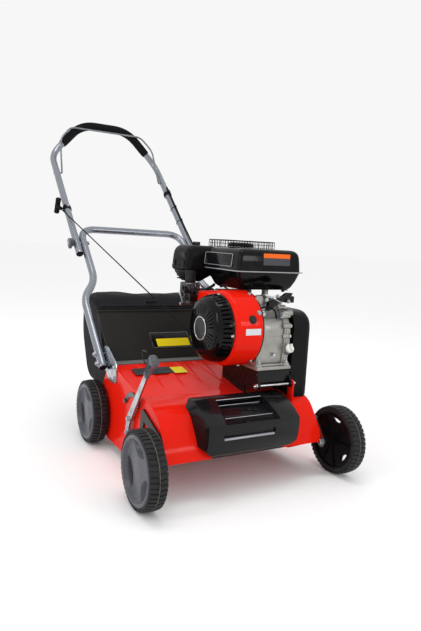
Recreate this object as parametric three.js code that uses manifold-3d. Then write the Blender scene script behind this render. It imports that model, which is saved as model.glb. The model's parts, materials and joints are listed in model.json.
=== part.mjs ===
// Petrol lawn aerator, modelled in millimetres with +Z up, -Y the front and +X the belt side.
// Every piece is drawn about the front axle line (y = 0) on the ground (z = 0) and the finished
// group is moved once, so that its origin is the bottom centre of the whole machine.

import * as THREE from 'three';
import { mergeVertices } from 'three/addons/utils/BufferGeometryUtils.js';
import Module from 'manifold-3d';

const wasm = await Module();
wasm.setup();

// Clearances and cutting
const gap = 0.3;
const overrun = 6;

// Running gear
const wheelRadius = 95;
const wheelWidth = 49;
const wheelbaseBeyondDeck = 75;
const treadDepth = 4;
const treadLugs = 14;
const lugSpread = 0.3;
const hubRadius = 82.5;
const tyreSeatRadius = 77.7;
const hubBoss = 15;
const hubSides = 12;
const axleRadius = 6;
const axleReach = 34;
const collarRadius = 11;
const rearWheelGap = 4;
const frontWheelGap = 32;

// Deck
const deckHalf = 235;
const sheet = 2.5;
const deckLength = 400;
const lipHeight = 95;
const deckRise = 165;
const skirtHeight = 28;
const skirtBeyondDeck = 105;
const skirtRearRise = 47.5;
const skirtRearInset = 14;
const ribHeight = 4;
const hingeRodRadius = 4;
const hingeRodBehind = 10;
const hingeRodDrop = 8;
const rodLugReach = 12;
const slotFrontY = 156;
const slotClearance = 3;

// Swing frame that carries the front wheels, and its depth lever
const swingY = 140;
const swingZ = 180;
const swingShaftRadius = 8;
const armPlate = 4;
const armGap = 1;
const armWidth = 12;
const elbowY = 36;
const elbowZ = 146;
const tabY = 150;
const tabZ = 107;
const leverY = 214;
const leverZ = 147;
const leverPlate = 5;
const leverWidth = 9;
const leverTopY = 100;
const leverTopZ = 303;
const crankY = 225;
const crankZ = 107;
const linkPlate = 3;
const linkWidth = 8;
const pinRadius = 4;
const quadrantRadius = 63;
const quadrantWidth = 12;
const quadrantPlate = 3;
const leverGripLength = 62;
const leverGripWidth = 26;

// Rotor
const rotorY = 230;
const rotorZ = 95;
const rotorTip = 86;
const rotorShaftRadius = 10;
const bladeCount = 8;
const bladeThickness = 3;
const bladeTwist = 30;
const bearingRadius = 32;
const bearingLength = 12;
const bulkheadInset = 59;
const bulkheadPlate = 3;

// Belt drive
const beltWidth = 10;
const beltThickness = 8;
const enginePulleyRadius = 35;
const rotorPulleyRadius = 45;
const grooveDepth = 7;
const pulleyWidth = 16;
const pulleyAway = 20;
const pulleySides = 10;
const fastenerSides = 6;
const idlerRadius = 20;
const idlerShare = 0.34;
const idlerPivotY = 272;
const idlerPivotZ = 376;
const beltCoverWidth = 67;
const coverFrontY = 80;
const coverRearY = 301;
const coverTopZ = 447;
const coverWall = 2.5;
const coverRound = 55;

// Engine
const crankAxisY = 160;
const crankAxisZ = 394;
const crankRadius = 10;
const engineBaseZ = 286;
const baseInset = 1.5;
const baseOutset = 3;
const baseFrontY = 75;
const baseRearY = 245;
const baseThickness = 14;
const crankcaseHalf = 79;
const crankcaseWidth = 110.5;
const crankcaseGap = 8;
const flangeInset = 26;
const flangeThickness = 14;
const backPlate = 4;
const mainBossRadius = 32;
const bossRadius = 9;
const bossBoltRadius = 5;
const postRadius = 10;
const postSpread = 56;
const dipstickRadius = 10;
const dipstickDepth = 34;
const dipstickHead = 8;
const shroudDepth = 80.2;
const shroudEdge = 9;
const shroudRadius = 104;
const shroudWall = 3;
const shroudOpening = 84;
const starterDepth = 53;
const starterRadius = 93;
const starterSlots = 10;
const starterSlotWidth = 4;
const ropeBoss = 7;
const fanRadius = 80;
const fanBlades = 7;
const fanDepth = 30;
const fanHubInset = 8;
const fanBlade = 3;
const cylinderTilt = 18;
const cylinderHalf = 44;
const cylinderInset = 60;
const barrelShare = 0.72;
const seatShare = 1.06;
const finThickness = 4;
const barrelStart = 84;
const barrelEnd = 168;
const headEnd = 208;
const finCount = 6;
const tankLeftInset = 161;
const tankWidth = 220;
const tankFrontY = 130;
const tankRearY = 322;
const tankBottomZ = 498;
const tankSeamZ = 550;
const tankTopZ = 612;
const tankFlange = 7;
const tankSeam = 3;
const tankDraft = 5;
const tankCorner = 14;
const tankBottomInset = 34;
const capRadius = 38;
const capHeight = 13;
const capLobes = 7;
const neckHeight = 2;
const capInset = 69;
const capY = 236;
const cleanerBeyondTank = 53;
const cleanerWidth = 116;
const cleanerDepth = 119;
const cleanerTankGap = 4;
const cleanerLip = 3;
const wingNutSpan = 24;
const cleanerBottomZ = 536;
const cleanerTopZ = 612;
const carbInset = 17;
const carbY = 336;
const carbZ = 482;
const carbWidth = 48;
const carbHeight = 44;
const intakeRadius = 14;
const controlRound = 5;
const chokeLength = 30;
const throttleLength = 34;
const silencerInset = 85;
const silencerWidth = 155;
const exhaustRadius = 13;
const silencerFrontY = 330;
const silencerRearY = 424;
const silencerBottomZ = 506;
const silencerTopZ = 598;
const silencerWall = 2.5;
const outletRadius = 9;
const guardWire = 3;
const guardTopZ = 634;
const guardPitch = 31;
const guardHeight = 44;

// Engine stand on the deck
const standTopZ = 285.7;
const standPlate = 4;
const standInset = 1;
const tieRodY = 71;
const tieRodZ = 247;
const tieRodRadius = 4;

// Handle, which lies in one slanted plane
const handleFootBehind = 11;
const handleFootDrop = 12;
const handleAngle = 42;
const tubeRadius = 12.5;
const bracketPlate = 3;
const bracketReach = 67;
const bracketRise = 50;
const bracketBolt = 5.5;
const footBoltReaches = [16, 50];
const joggleStart = 278;
const joggleEnd = 350;
const crossbarBeyondJoint = 74;
const jointReach = 532;
const upperBelowJoint = 56;
const upperReach = 1042;
const tubeBend = 60;
const joggleOffset = 52.1;
const topBarInset = 124.6;
const topBarBack = 29.636;
const topBarRise = 135.76;
const foamRadius = 17.5;
const shoulderBend = 50;
const shoulderStations = 3;
const bailReach = 925;
const bailRadius = 3.5;
const bailTopInset = 74.6;
const bailBend = 22;
const bailLength = 214;
const bailAngle = 65;
const knobRadius = 21;
const knobDepth = 16;
const jointBoltRadius = 4;
const guideReach = 712;
const guideHalf = 4;
const clampHalf = 9;
const clampWall = 3;
const starterGripLength = 60;
const starterGripRadius = 10;
const ropeRadius = 2;
const cableRadius = 3.5;
const clipReach = 852;
const clipHalf = 8;
const cableSagReach = 302.5;
const cableSagRise = 59.6;

// Rear flap and grass bag
const flapEndGap = 6;
const flapTipBehind = 142;
const flapTipRise = 136;
const flapWall = 3.5;
const flapRib = 3;
const flapRim = 12;
const flapThickness = 5;
const bagEndGap = 13;
const bagWall = 4;
const bagRound = 40;
const bagSlack = 8;
const bagFrameRadius = 4;
const bagLowBehind = 36;
const bagLowDrop = 56;
const bagHighBehind = 167;
const bagHighRise = 150;
const bagBackBehind = 335;
const bagTopRise = 195;
const bagBottomDrop = 100;
const bagHandleX = -24;
const bagHandleHalf = 34;
const bagHandleRise = 22;
const bagShoulder = 45;
const earPlate = 2.2;
const earFoot = 32;

// Front cover
const coverInset = 88;
const coverLength = 128;

const part = new THREE.Group();

// Colours and finishes
const finishes = {
  red: { color: 0xd81408, roughness: 0.28, metalness: 0.1 },
  black: { color: 0x111213, roughness: 0.45, metalness: 0.0 },
  blackGloss: { color: 0x0b0c0d, roughness: 0.2, metalness: 0.1 },
  blackSteel: { color: 0x141516, roughness: 0.35, metalness: 0.5 },
  rubber: { color: 0x1b1b1c, roughness: 0.85, metalness: 0.0 },
  grey: { color: 0x5f6268, roughness: 0.5, metalness: 0.0 },
  tube: { color: 0x8d9096, roughness: 0.35, metalness: 0.6 },
  zinc: { color: 0xb4b8bb, roughness: 0.35, metalness: 0.9 },
  cast: { color: 0x9a9a94, roughness: 0.55, metalness: 0.8 },
  foam: { color: 0x17171a, roughness: 0.95, metalness: 0.0 },
  cloth: { color: 0x1a1a1b, roughness: 0.95, metalness: 0.0 },
};

// Small helpers for points and angles
const flat = (a, b) => new THREE.Vector2(a, b);
const at = (x, y, z) => new THREE.Vector3(x, y, z);
const radians = THREE.MathUtils.degToRad;

// The radius of a faceted bore that clears a round bar all the way round
const boreRound = (radius, sides = 8) => (radius + gap) / Math.cos(Math.PI / sides);

// A closed three.js geometry as a solid that can be joined and cut
function solid(geometry) {
  geometry.deleteAttribute('normal');
  geometry.deleteAttribute('uv');
  const merged = mergeVertices(geometry, 1e-3);
  const source = merged.index.array;
  const spot = merged.attributes.position;
  const corner = [at(0, 0, 0), at(0, 0, 0), at(0, 0, 0)];
  const kept = [];
  let volume = 0;
  for (let i = 0; i < source.length; i += 3) {
    const trio = [source[i], source[i + 1], source[i + 2]];
    if (new Set(trio).size === 3) {
      kept.push(...trio);
      trio.forEach((v, k) => corner[k].fromBufferAttribute(spot, v));
      volume += corner[0].dot(corner[1].cross(corner[2]));
    }
  }
  if (volume < 0) kept.reverse();
  const mesh = new wasm.Mesh({
    numProp: 3,
    vertProperties: Float32Array.from(spot.array),
    triVerts: Uint32Array.from(kept),
  });
  return new wasm.Manifold(mesh);
}

const join = (first, ...others) => others.reduce((whole, next) => whole.add(next), first);
const cut = (first, ...others) => others.reduce((whole, next) => whole.subtract(next), first);

// A box between two opposite corners
function block(x0, x1, y0, y1, z0, z1) {
  const box = new THREE.BoxGeometry(x1 - x0, y1 - y0, z1 - z0);
  box.translate((x0 + x1) / 2, (y0 + y1) / 2, (z0 + z1) / 2);
  return solid(box);
}

// A shape drawn in the side view (y, z) and given a width along x
function sidePlate(points, x0, x1, holes = []) {
  const shape = new THREE.Shape(points);
  holes.forEach((hole) => shape.holes.push(new THREE.Path(hole)));
  const plate = new THREE.ExtrudeGeometry(shape, { depth: x1 - x0, bevelEnabled: false });
  plate.applyMatrix4(new THREE.Matrix4().makeBasis(at(0, 1, 0), at(0, 0, 1), at(1, 0, 0)));
  plate.translate(x0, 0, 0);
  return solid(plate);
}

// A shape drawn in the front view (x, z) and given a length along y
function frontPlate(points, y0, y1, holes = []) {
  const shape = new THREE.Shape(points);
  holes.forEach((hole) => shape.holes.push(new THREE.Path(hole)));
  const plate = new THREE.ExtrudeGeometry(shape, { depth: y1 - y0, bevelEnabled: false });
  plate.applyMatrix4(new THREE.Matrix4().makeBasis(at(1, 0, 0), at(0, 0, 1), at(0, -1, 0)));
  plate.translate(0, y1, 0);
  return solid(plate);
}

// A shape drawn in the plan view (x, y) and given a height along z
function planPlate(points, z0, z1) {
  const plate = new THREE.ExtrudeGeometry(new THREE.Shape(points), { depth: z1 - z0, bevelEnabled: false });
  plate.translate(0, 0, z0);
  return solid(plate);
}

// The points of a circle or of an arc of one
function arc(a, b, radius, steps, from = 0, to = 360) {
  const full = Math.abs(to - from) === 360;
  const count = full ? steps : steps + 1;
  return Array.from({ length: count }, (_, i) => {
    const angle = radians(from + ((to - from) * i) / steps);
    return flat(a + radius * Math.cos(angle), b + radius * Math.sin(angle));
  });
}

// The outline that goes tightly round a set of points
function wrapped(points) {
  const sorted = [...points].sort((p, q) => p.x - q.x || p.y - q.y);
  const turn = (o, p, q) => (p.x - o.x) * (q.y - o.y) - (p.y - o.y) * (q.x - o.x);
  const half = (list) => {
    const chain = [];
    for (const p of list) {
      while (chain.length > 1 && turn(chain.at(-2), chain.at(-1), p) <= 0) chain.pop();
      chain.push(p);
    }
    chain.pop();
    return chain;
  };
  return [...half(sorted), ...half(sorted.reverse())];
}

// An outline whose corners are rounded, each by its own radius or all by one
function softened(points, radius, steps = 3) {
  const result = [];
  points.forEach((corner, i) => {
    const before = points.at(i - 1);
    const after = points[(i + 1) % points.length];
    const size = Array.isArray(radius) ? radius[i] : radius;
    const reach = Math.min(size, corner.distanceTo(before) / 2, corner.distanceTo(after) / 2);
    if (reach <= 0) {
      result.push(corner.clone());
      return;
    }
    const start = corner.clone().lerp(before, reach / corner.distanceTo(before));
    const end = corner.clone().lerp(after, reach / corner.distanceTo(after));
    const curve = new THREE.QuadraticBezierCurve(start, corner, end);
    result.push(...curve.getPoints(steps));
  });
  return result;
}

// A flat bar with round ends from one pin to another, in the side view
function strap(a, b, radiusA, radiusB, x0, x1, steps = 8) {
  const outline = wrapped([...arc(a.x, a.y, radiusA, steps), ...arc(b.x, b.y, radiusB, steps)]);
  return sidePlate(outline, x0, x1);
}

// A round bar along x, centred on a point of the side view
function barX(y, z, radius, x0, x1, sides = 8) {
  return sidePlate(arc(y, z, radius, sides), x0, x1);
}

// A shape turned about the x axis from pairs of place along the axis and radius
function turnedX(pairs, y, z, sides) {
  const profile = pairs.map(([along, radius]) => flat(radius, along));
  const shape = new THREE.LatheGeometry(profile, sides);
  shape.rotateZ(-Math.PI / 2);
  shape.translate(0, y, z);
  return solid(shape);
}

// A shape turned about the z axis from pairs of height and radius
function turnedZ(pairs, x, y, sides) {
  const profile = pairs.map(([along, radius]) => flat(radius, along));
  const shape = new THREE.LatheGeometry(profile, sides);
  shape.rotateX(Math.PI / 2);
  shape.translate(x, y, 0);
  return solid(shape);
}

// A round rod between two points
function rod(a, b, radius, sides = 8) {
  const bar = new THREE.CylinderGeometry(radius, radius, a.distanceTo(b), sides);
  const turn = new THREE.Quaternion().setFromUnitVectors(at(0, 1, 0), b.clone().sub(a).normalize());
  bar.applyQuaternion(turn);
  const middle = a.clone().add(b).divideScalar(2);
  bar.translate(middle.x, middle.y, middle.z);
  return solid(bar);
}

// A path whose stations are given one by one, so that straight runs need no steps
class Route extends THREE.Curve {
  constructor(stations) {
    super();
    this.stations = stations;
  }
  getPoint(t, target = new THREE.Vector3()) {
    const place = t * (this.stations.length - 1);
    const i = Math.min(Math.floor(place + 1e-9), this.stations.length - 2);
    return target.lerpVectors(this.stations[i], this.stations[i + 1], place - i);
  }
  getPointAt(u, target) {
    return this.getPoint(u, target);
  }
  getTangentAt(u, target = new THREE.Vector3()) {
    const i = Math.round(u * (this.stations.length - 1));
    const last = this.stations.length - 1;
    const run = (k) => this.stations[k + 1].clone().sub(this.stations[k]).normalize();
    if (i === 0) return target.copy(run(0));
    if (i === last) return target.copy(run(last - 1));
    return target.copy(run(i - 1).add(run(i)).normalize());
  }
}

// The stations of a path through corners, each rounded by a bend
function bentPath(corners, bend, steps = 3) {
  const stations = [corners[0].clone()];
  for (let i = 1; i < corners.length - 1; i += 1) {
    const corner = corners[i];
    const before = corners[i - 1];
    const after = corners[i + 1];
    const size = Array.isArray(bend) ? bend[i - 1] : bend;
    const reach = Math.min(size, corner.distanceTo(before) / 2.1, corner.distanceTo(after) / 2.1);
    const start = corner.clone().lerp(before, reach / corner.distanceTo(before));
    const end = corner.clone().lerp(after, reach / corner.distanceTo(after));
    stations.push(...new THREE.QuadraticBezierCurve3(start, corner, end).getPoints(steps));
  }
  stations.push(corners.at(-1).clone());
  return stations;
}

// A round bar that follows a path
function piping(stations, radius, sides = 8) {
  const shape = new THREE.Shape(arc(0, 0, radius, sides));
  const pipe = new THREE.ExtrudeGeometry(shape, {
    steps: stations.length - 1,
    bevelEnabled: false,
    extrudePath: new Route(stations),
  });
  return solid(pipe);
}

// A closed skin through rings that all have the same number of points
function loft(rings) {
  const count = rings[0].length;
  const spots = rings.flat().flatMap((p) => [p.x, p.y, p.z]);
  const faces = [];
  for (let r = 0; r < rings.length - 1; r += 1) {
    for (let i = 0; i < count; i += 1) {
      const next = (i + 1) % count;
      const low = r * count;
      const high = low + count;
      faces.push(low + i, low + next, high + next, low + i, high + next, high + i);
    }
  }
  const top = (rings.length - 1) * count;
  for (let i = 1; i < count - 1; i += 1) {
    faces.push(0, i + 1, i, top, top + i, top + i + 1);
  }
  const skin = new THREE.BufferGeometry();
  skin.setAttribute('position', new THREE.Float32BufferAttribute(spots, 3));
  skin.setIndex(faces);
  return solid(skin);
}

// A plan outline at a height, drawn in from its edge by an amount
function planRing(points, height, inset, middle) {
  return points.map((p) => {
    const away = p.clone().sub(middle);
    const reach = away.length();
    away.multiplyScalar((reach - inset) / reach);
    return at(middle.x + away.x, middle.y + away.y, height);
  });
}

// A rectangle's corners in order
const rectangle = (a0, a1, b0, b1) => [flat(a0, b0), flat(a1, b0), flat(a1, b1), flat(a0, b1)];

// Shares of a length and a height as points
const scaled = (shares, a0, a, b0, b) => shares.map(([s, t]) => flat(a0 + s * a, b0 + t * b));

// Puts a finished solid into the model under its name
function place(name, body, finish) {
  const mesh = body.getMesh();
  const geometry = new THREE.BufferGeometry();
  geometry.setAttribute('position', new THREE.BufferAttribute(Float32Array.from(mesh.vertProperties), 3));
  geometry.setIndex(new THREE.BufferAttribute(Uint32Array.from(mesh.triVerts), 1));
  const piece = new THREE.Mesh(geometry, new THREE.MeshStandardMaterial(finishes[finish]));
  piece.name = name;
  part.add(piece);
}

// Places worked out from the sizes above
const wheelbase = deckLength + wheelbaseBeyondDeck;
const skirtRear = deckLength + skirtBeyondDeck;
const hingeRodY = deckLength + hingeRodBehind;
const hingeRodZ = lipHeight + deckRise - hingeRodDrop;
const bulkheadX = deckHalf - bulkheadInset;
const pulleyX = bulkheadX + pulleyAway;
const coverRightX = bulkheadX + beltCoverWidth;
const crankcaseRightX = bulkheadX - crankcaseGap;
const crankcaseLeftX = crankcaseRightX - crankcaseWidth;
const baseLeftX = crankcaseLeftX + baseInset;
const baseRightX = crankcaseRightX + baseOutset;
const shroudRearX = crankcaseLeftX - gap;
const shroudFrontX = shroudRearX - shroudDepth;
const standLeftX = baseLeftX + standInset;
const standRightX = baseRightX - standInset;
const cylinderX = crankcaseRightX - cylinderInset;
const tankLeftX = bulkheadX - tankLeftInset;
const tankRightX = tankLeftX + tankWidth;
const capX = tankLeftX + capInset;
const cleanerLeftX = tankLeftX - cleanerBeyondTank;
const cleanerRightX = cleanerLeftX + cleanerWidth;
const cleanerFrontY = tankRearY + cleanerTankGap;
const cleanerRearY = cleanerFrontY + cleanerDepth;
const carbX = cleanerLeftX + carbInset;
const silencerLeftX = tankLeftX + silencerInset;
const silencerRightX = silencerLeftX + silencerWidth;
const rearWheelInner = deckHalf + rearWheelGap;
const frontWheelInner = deckHalf + frontWheelGap;
const slotRearY = coverRearY - coverWall - gap;
const armInner = deckHalf + armGap;
const armOuter = armInner + armPlate;
const linkInner = armOuter + gap;
const leverInner = linkInner + linkPlate + gap;
const leverOuter = leverInner + leverPlate;
const handleFootY = hingeRodY + handleFootBehind;
const handleFootZ = hingeRodZ - handleFootDrop;
const crossbarReach = jointReach + crossbarBeyondJoint;
const upperStart = jointReach - upperBelowJoint;
const slope = flat(Math.cos(radians(handleAngle)), Math.sin(radians(handleAngle)));
const alongHandle = (x, reach) => at(x, handleFootY + reach * slope.x, handleFootZ + reach * slope.y);
const fanLeft = shroudFrontX + shroudWall + 4 * gap;
const tubeHalf = deckHalf + bracketPlate + tubeRadius + 2 * gap;
const lowerTopHalf = tubeHalf - joggleOffset;
const upperHalf = lowerTopHalf + 2 * tubeRadius + 2 * gap;
const topBarHalf = upperHalf - topBarInset;
const topBarY = alongHandle(0, upperReach).y + topBarBack;
const topBarZ = alongHandle(0, upperReach).z + topBarRise;
const bailHalfTop = upperHalf - bailTopInset;
const flapHalf = deckHalf - flapEndGap;
const flapTipY = hingeRodY + flapTipBehind;
const flapTipZ = hingeRodZ + flapTipRise;
const bagHalf = deckHalf - bagEndGap;
const bagLowY = hingeRodY + bagLowBehind;
const bagLowZ = hingeRodZ - bagLowDrop;
const bagHighY = hingeRodY + bagHighBehind;
const bagHighZ = hingeRodZ + bagHighRise;
const bagBackY = hingeRodY + bagBackBehind;
const bagTopZ = hingeRodZ + bagTopRise;
const bagBottomZ = hingeRodZ - bagBottomDrop;
const coverHalf = deckHalf - coverInset;

// Deck profile from the front lip over the shoulder to the rear edge, as shares of its length and rise
const deckTopShares = [
  [0, 0], [0.033, 0.212], [0.085, 0.4], [0.15, 0.588], [0.233, 0.679],
  [0.328, 0.715], [0.42, 0.735], [0.963, 0.976], [1, 1],
];
const deckTop = scaled(deckTopShares, 0, deckLength, lipHeight, deckRise);

// The height of the deck's top sheet at a place along the machine
function deckHeight(y) {
  const i = Math.max(1, deckTop.findIndex((p) => p.x >= y));
  const low = deckTop[i - 1];
  const high = deckTop[i];
  return low.y + ((high.y - low.y) * (y - low.x)) / (high.x - low.x);
}

// The deck's top profile moved up or down by an amount square to each run
function deckProfile(offset) {
  return deckTop.map((p, i) => {
    const before = deckTop[Math.max(0, i - 1)];
    const after = deckTop[Math.min(deckTop.length - 1, i + 1)];
    const run = after.clone().sub(before).normalize();
    return flat(p.x - run.y * offset, p.y + run.x * offset);
  });
}

// One raised rib pressed into the sloping top, wide at the rear and pointed at the front
function deckRib(x, halfWidth) {
  const front = 0.52 * deckLength;
  const rear = 0.93 * deckLength;
  const rise = (deckHeight(rear) - deckHeight(front)) / (rear - front);
  const wedge = new THREE.Shape([flat(x, front), flat(x + halfWidth, rear), flat(x - halfWidth, rear)]);
  const rib = new THREE.ExtrudeGeometry(wedge, { depth: ribHeight + sheet, bevelEnabled: false });
  const lean = new THREE.Matrix4().makeShear(0, 0, 0, rise, 0, 0);
  rib.applyMatrix4(lean);
  rib.translate(0, 0, deckHeight(front) - rise * front - sheet);
  return solid(rib);
}

// Pressed steel deck with its two side plates, ribs, belt slot and rod lugs
function deck() {
  const skirtShares = [[1, 0.75], [0.95, 0.32], [0.86, 0.08], [0.8, 0], [0.2, 0], [0.1, 0.18]];
  const skirt = scaled(skirtShares, 0, skirtRear, skirtHeight, lipHeight - skirtHeight);
  const lug = arc(hingeRodY, hingeRodZ, rodLugReach, 6, 150, -20);
  const rearEdge = [flat(skirtRear - skirtRearInset, lipHeight + skirtRearRise)];
  const outline = [...deckTop.slice(0, -1), ...lug, ...rearEdge, ...skirt];
  let body = sidePlate(outline, -deckHalf, deckHalf);
  const inner = deckProfile(-sheet);
  const below = flat(inner[0].x, -overrun);
  const behindLow = flat(skirtRear + overrun, -overrun);
  const behindHigh = flat(skirtRear + overrun, deckTop.at(-1).y + skirtRear);
  const aboveRear = flat(deckLength, deckTop.at(-1).y + skirtRear);
  const hollow = [...inner, aboveRear, behindHigh, behindLow, below];
  body = cut(body, sidePlate(hollow, -deckHalf + sheet, deckHalf - sheet));
  [-0.62, -0.36, -0.1, 0.16].forEach((ribShare) => {
    body = join(body, deckRib(ribShare * deckHalf, deckHalf / 14));
  });
  body = join(body, rodLug());
  const slotLeft = bulkheadX - gap;
  const slotRight = pulleyX + pulleyWidth + slotClearance;
  const slot = block(slotLeft, slotRight, slotFrontY, slotRearY, rotorZ + rotorPulleyRadius, crankAxisZ);
  const through = deckHalf + overrun;
  const holes = [
    barX(swingY, swingZ, boreRound(swingShaftRadius), -through, through),
    barX(wheelbase, wheelRadius, axleRadius + gap, -through, through),
    barX(hingeRodY, hingeRodZ, hingeRodRadius + gap, -through, through),
    barX(leverY, leverZ, boreRound(pinRadius), -through, 0),
  ];
  return cut(body, slot, ...holes);
}

// Red hooked lug on the deck that holds the right end of the tie rod
function rodLug() {
  const foot = deckHeight(tieRodY) - sheet;
  const tall = tieRodZ - foot;
  const reach = tieRodRadius * 3;
  const outline = softened([
    flat(tieRodY - reach, foot), flat(tieRodY + reach, foot),
    flat(tieRodY + reach, foot + tall + reach), flat(tieRodY - reach, foot + tall + reach),
  ], [0, 0, reach, reach]);
  const hole = arc(tieRodY, tieRodZ, tieRodRadius + gap, 8).reverse();
  return sidePlate(outline, standRightX + gap, standRightX + gap + standPlate, [hole]);
}

// Outline of the belt cover in the side view, drawn in from its edge by an amount
function beltOutline(inset) {
  const low = deckHeight(coverFrontY) - overrun;
  const corners = rectangle(coverFrontY + inset, coverRearY - inset, low, coverTopZ - inset);
  return softened(corners, [0, 0, coverRound - inset, coverRound - inset], 4);
}

// What lies under the top of the deck, so that pieces that stand on it follow its profile
function underDeck(offset, x0, x1) {
  const top = deckProfile(offset);
  const rear = flat(deckLength, 0);
  return sidePlate([flat(-overrun, 0), flat(-overrun, top[0].y), ...top, rear], x0, x1);
}

// Plate behind the belt: it carries the cover above the deck and the rotor bearing below it
function beltBackplate() {
  const left = bulkheadX;
  const right = bulkheadX + bulkheadPlate;
  const upper = cut(
    sidePlate(beltOutline(coverWall + gap), left, right),
    underDeck(gap, left - overrun, right + overrun),
  );
  const legFront = slotFrontY + gap;
  const legRear = slotRearY - gap;
  const legLow = rotorZ - rotorPulleyRadius;
  const leg = block(left, right, legFront, legRear, legLow, crankAxisZ - enginePulleyRadius);
  return cut(
    join(upper, leg),
    barX(crankAxisY, crankAxisZ, boreRound(crankRadius), left - overrun, right + overrun),
    barX(rotorY, rotorZ, boreRound(rotorShaftRadius), left - overrun, right + overrun),
  );
}

// Moulded belt cover, open towards its back plate
function beltCover() {
  const left = bulkheadX - gap;
  const frontView = (inset) => softened(
    rectangle(left, coverRightX - inset, lipHeight, coverTopZ - inset),
    [0, 0, coverRound / 2 - inset, 0],
    4,
  );
  const shell = (inset) => sidePlate(beltOutline(inset), left, coverRightX - inset)
    .intersect(frontPlate(frontView(inset), coverFrontY, coverRearY));
  const inside = [coverFrontY + coverWall, coverRearY - coverWall, lipHeight, coverTopZ - coverWall * 2];
  return cut(
    shell(0),
    shell(coverWall),
    underDeck(gap, left - overrun, coverRightX + overrun),
    block(left - overrun, left + overrun, ...inside),
  );
}

// A grooved pulley on the x axis, with its bore
function pulley(radius, y, z, bore) {
  const half = pulleyWidth / 2;
  const grooveHalf = beltWidth / 2 + gap;
  const floor = radius - grooveDepth;
  const middle = pulleyX + half;
  return turnedX([
    [pulleyX, bore], [pulleyX, radius], [middle - grooveHalf, radius], [middle - grooveHalf, floor],
    [middle + grooveHalf, floor], [middle + grooveHalf, radius], [pulleyX + pulleyWidth, radius],
    [pulleyX + pulleyWidth, bore], [pulleyX, bore],
  ], y, z, pulleySides);
}

// The belt is one loop round both pulleys
function driveBelt() {
  const steps = 14;
  const ring = (y, z, radius, extra) => arc(y, z, boreRound(radius - grooveDepth, steps) + extra, steps);
  const loop = (extra) => wrapped([
    ...ring(crankAxisY, crankAxisZ, enginePulleyRadius, extra),
    ...ring(rotorY, rotorZ, rotorPulleyRadius, extra),
  ]);
  const middle = pulleyX + pulleyWidth / 2;
  const inside = loop(0).reverse();
  return sidePlate(loop(beltThickness), middle - beltWidth / 2, middle + beltWidth / 2, [inside]);
}

// Where the idler rides on the slack run of the belt
function idlerPlace() {
  const run = flat(rotorY - crankAxisY, rotorZ - crankAxisZ);
  const side = flat(-run.y, run.x).normalize();
  const radius = THREE.MathUtils.lerp(enginePulleyRadius, rotorPulleyRadius, idlerShare) - grooveDepth;
  const away = radius + gap * 2 + beltThickness + idlerRadius;
  return flat(
    crankAxisY + run.x * idlerShare + side.x * away,
    crankAxisZ + run.y * idlerShare + side.y * away,
  );
}

function idlerPulley() {
  const spot = idlerPlace();
  return turnedX([
    [pulleyX, boreRound(pinRadius)], [pulleyX, idlerRadius], [pulleyX + pulleyWidth, idlerRadius],
    [pulleyX + pulleyWidth, boreRound(pinRadius)], [pulleyX, boreRound(pinRadius)],
  ], spot.x, spot.y, pulleySides);
}

function idlerArm() {
  const spot = idlerPlace();
  const pivot = flat(idlerPivotY, idlerPivotZ);
  const left = pulleyX - gap - armPlate;
  const bar = strap(spot, pivot, pinRadius * 2, pinRadius * 2.5, left, left + armPlate);
  const pin = barX(spot.x, spot.y, pinRadius, left, pulleyX + pulleyWidth + pinRadius / 2);
  const post = barX(pivot.x, pivot.y, pinRadius, bulkheadX + bulkheadPlate + gap, left + armPlate);
  return join(bar, pin, post);
}

// One flat three-pointed blade of the rotor
function rotorBlade(x, turn) {
  const tips = [];
  for (let i = 0; i < 3; i += 1) {
    const middle = turn + i * 120;
    tips.push(...[[-48, 0.3], [-7, 0.99], [6, 1]].map(([angle, reachShare]) => {
      const direction = radians(middle + angle);
      const reach = rotorTip * reachShare;
      return flat(rotorY + reach * Math.cos(direction), rotorZ + reach * Math.sin(direction));
    }));
  }
  return sidePlate(tips, x, x + bladeThickness);
}

// Rotor shaft with its staggered blades and the spacer tube between them
function rotor() {
  const left = -deckHalf + sheet + gap;
  const right = pulleyX + pulleyWidth + gap;
  const firstBlade = left + bearingLength * 2.5;
  const lastBlade = bulkheadX - bearingLength * 2.8;
  const tubeLeft = left + bearingLength + rotorShaftRadius / 5;
  const tube = barX(rotorY, rotorZ, rotorShaftRadius * 1.7, tubeLeft, lastBlade + bladeThickness * 2);
  let body = join(barX(rotorY, rotorZ, rotorShaftRadius, left + rotorShaftRadius / 5, right), tube);
  for (let i = 0; i < bladeCount; i += 1) {
    const x = firstBlade + ((lastBlade - firstBlade) * i) / (bladeCount - 1);
    body = join(body, rotorBlade(x, i * bladeTwist));
  }
  return body;
}

// A flange bearing on the rotor axis
function rotorBearing(x0) {
  const bore = boreRound(rotorShaftRadius);
  return turnedX([
    [x0, bore], [x0, bearingRadius], [x0 + bearingLength / 3, bearingRadius],
    [x0 + bearingLength / 3, bearingRadius * 0.65], [x0 + bearingLength, bearingRadius * 0.6],
    [x0 + bearingLength, bore], [x0, bore],
  ], rotorY, rotorZ, 8);
}

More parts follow.
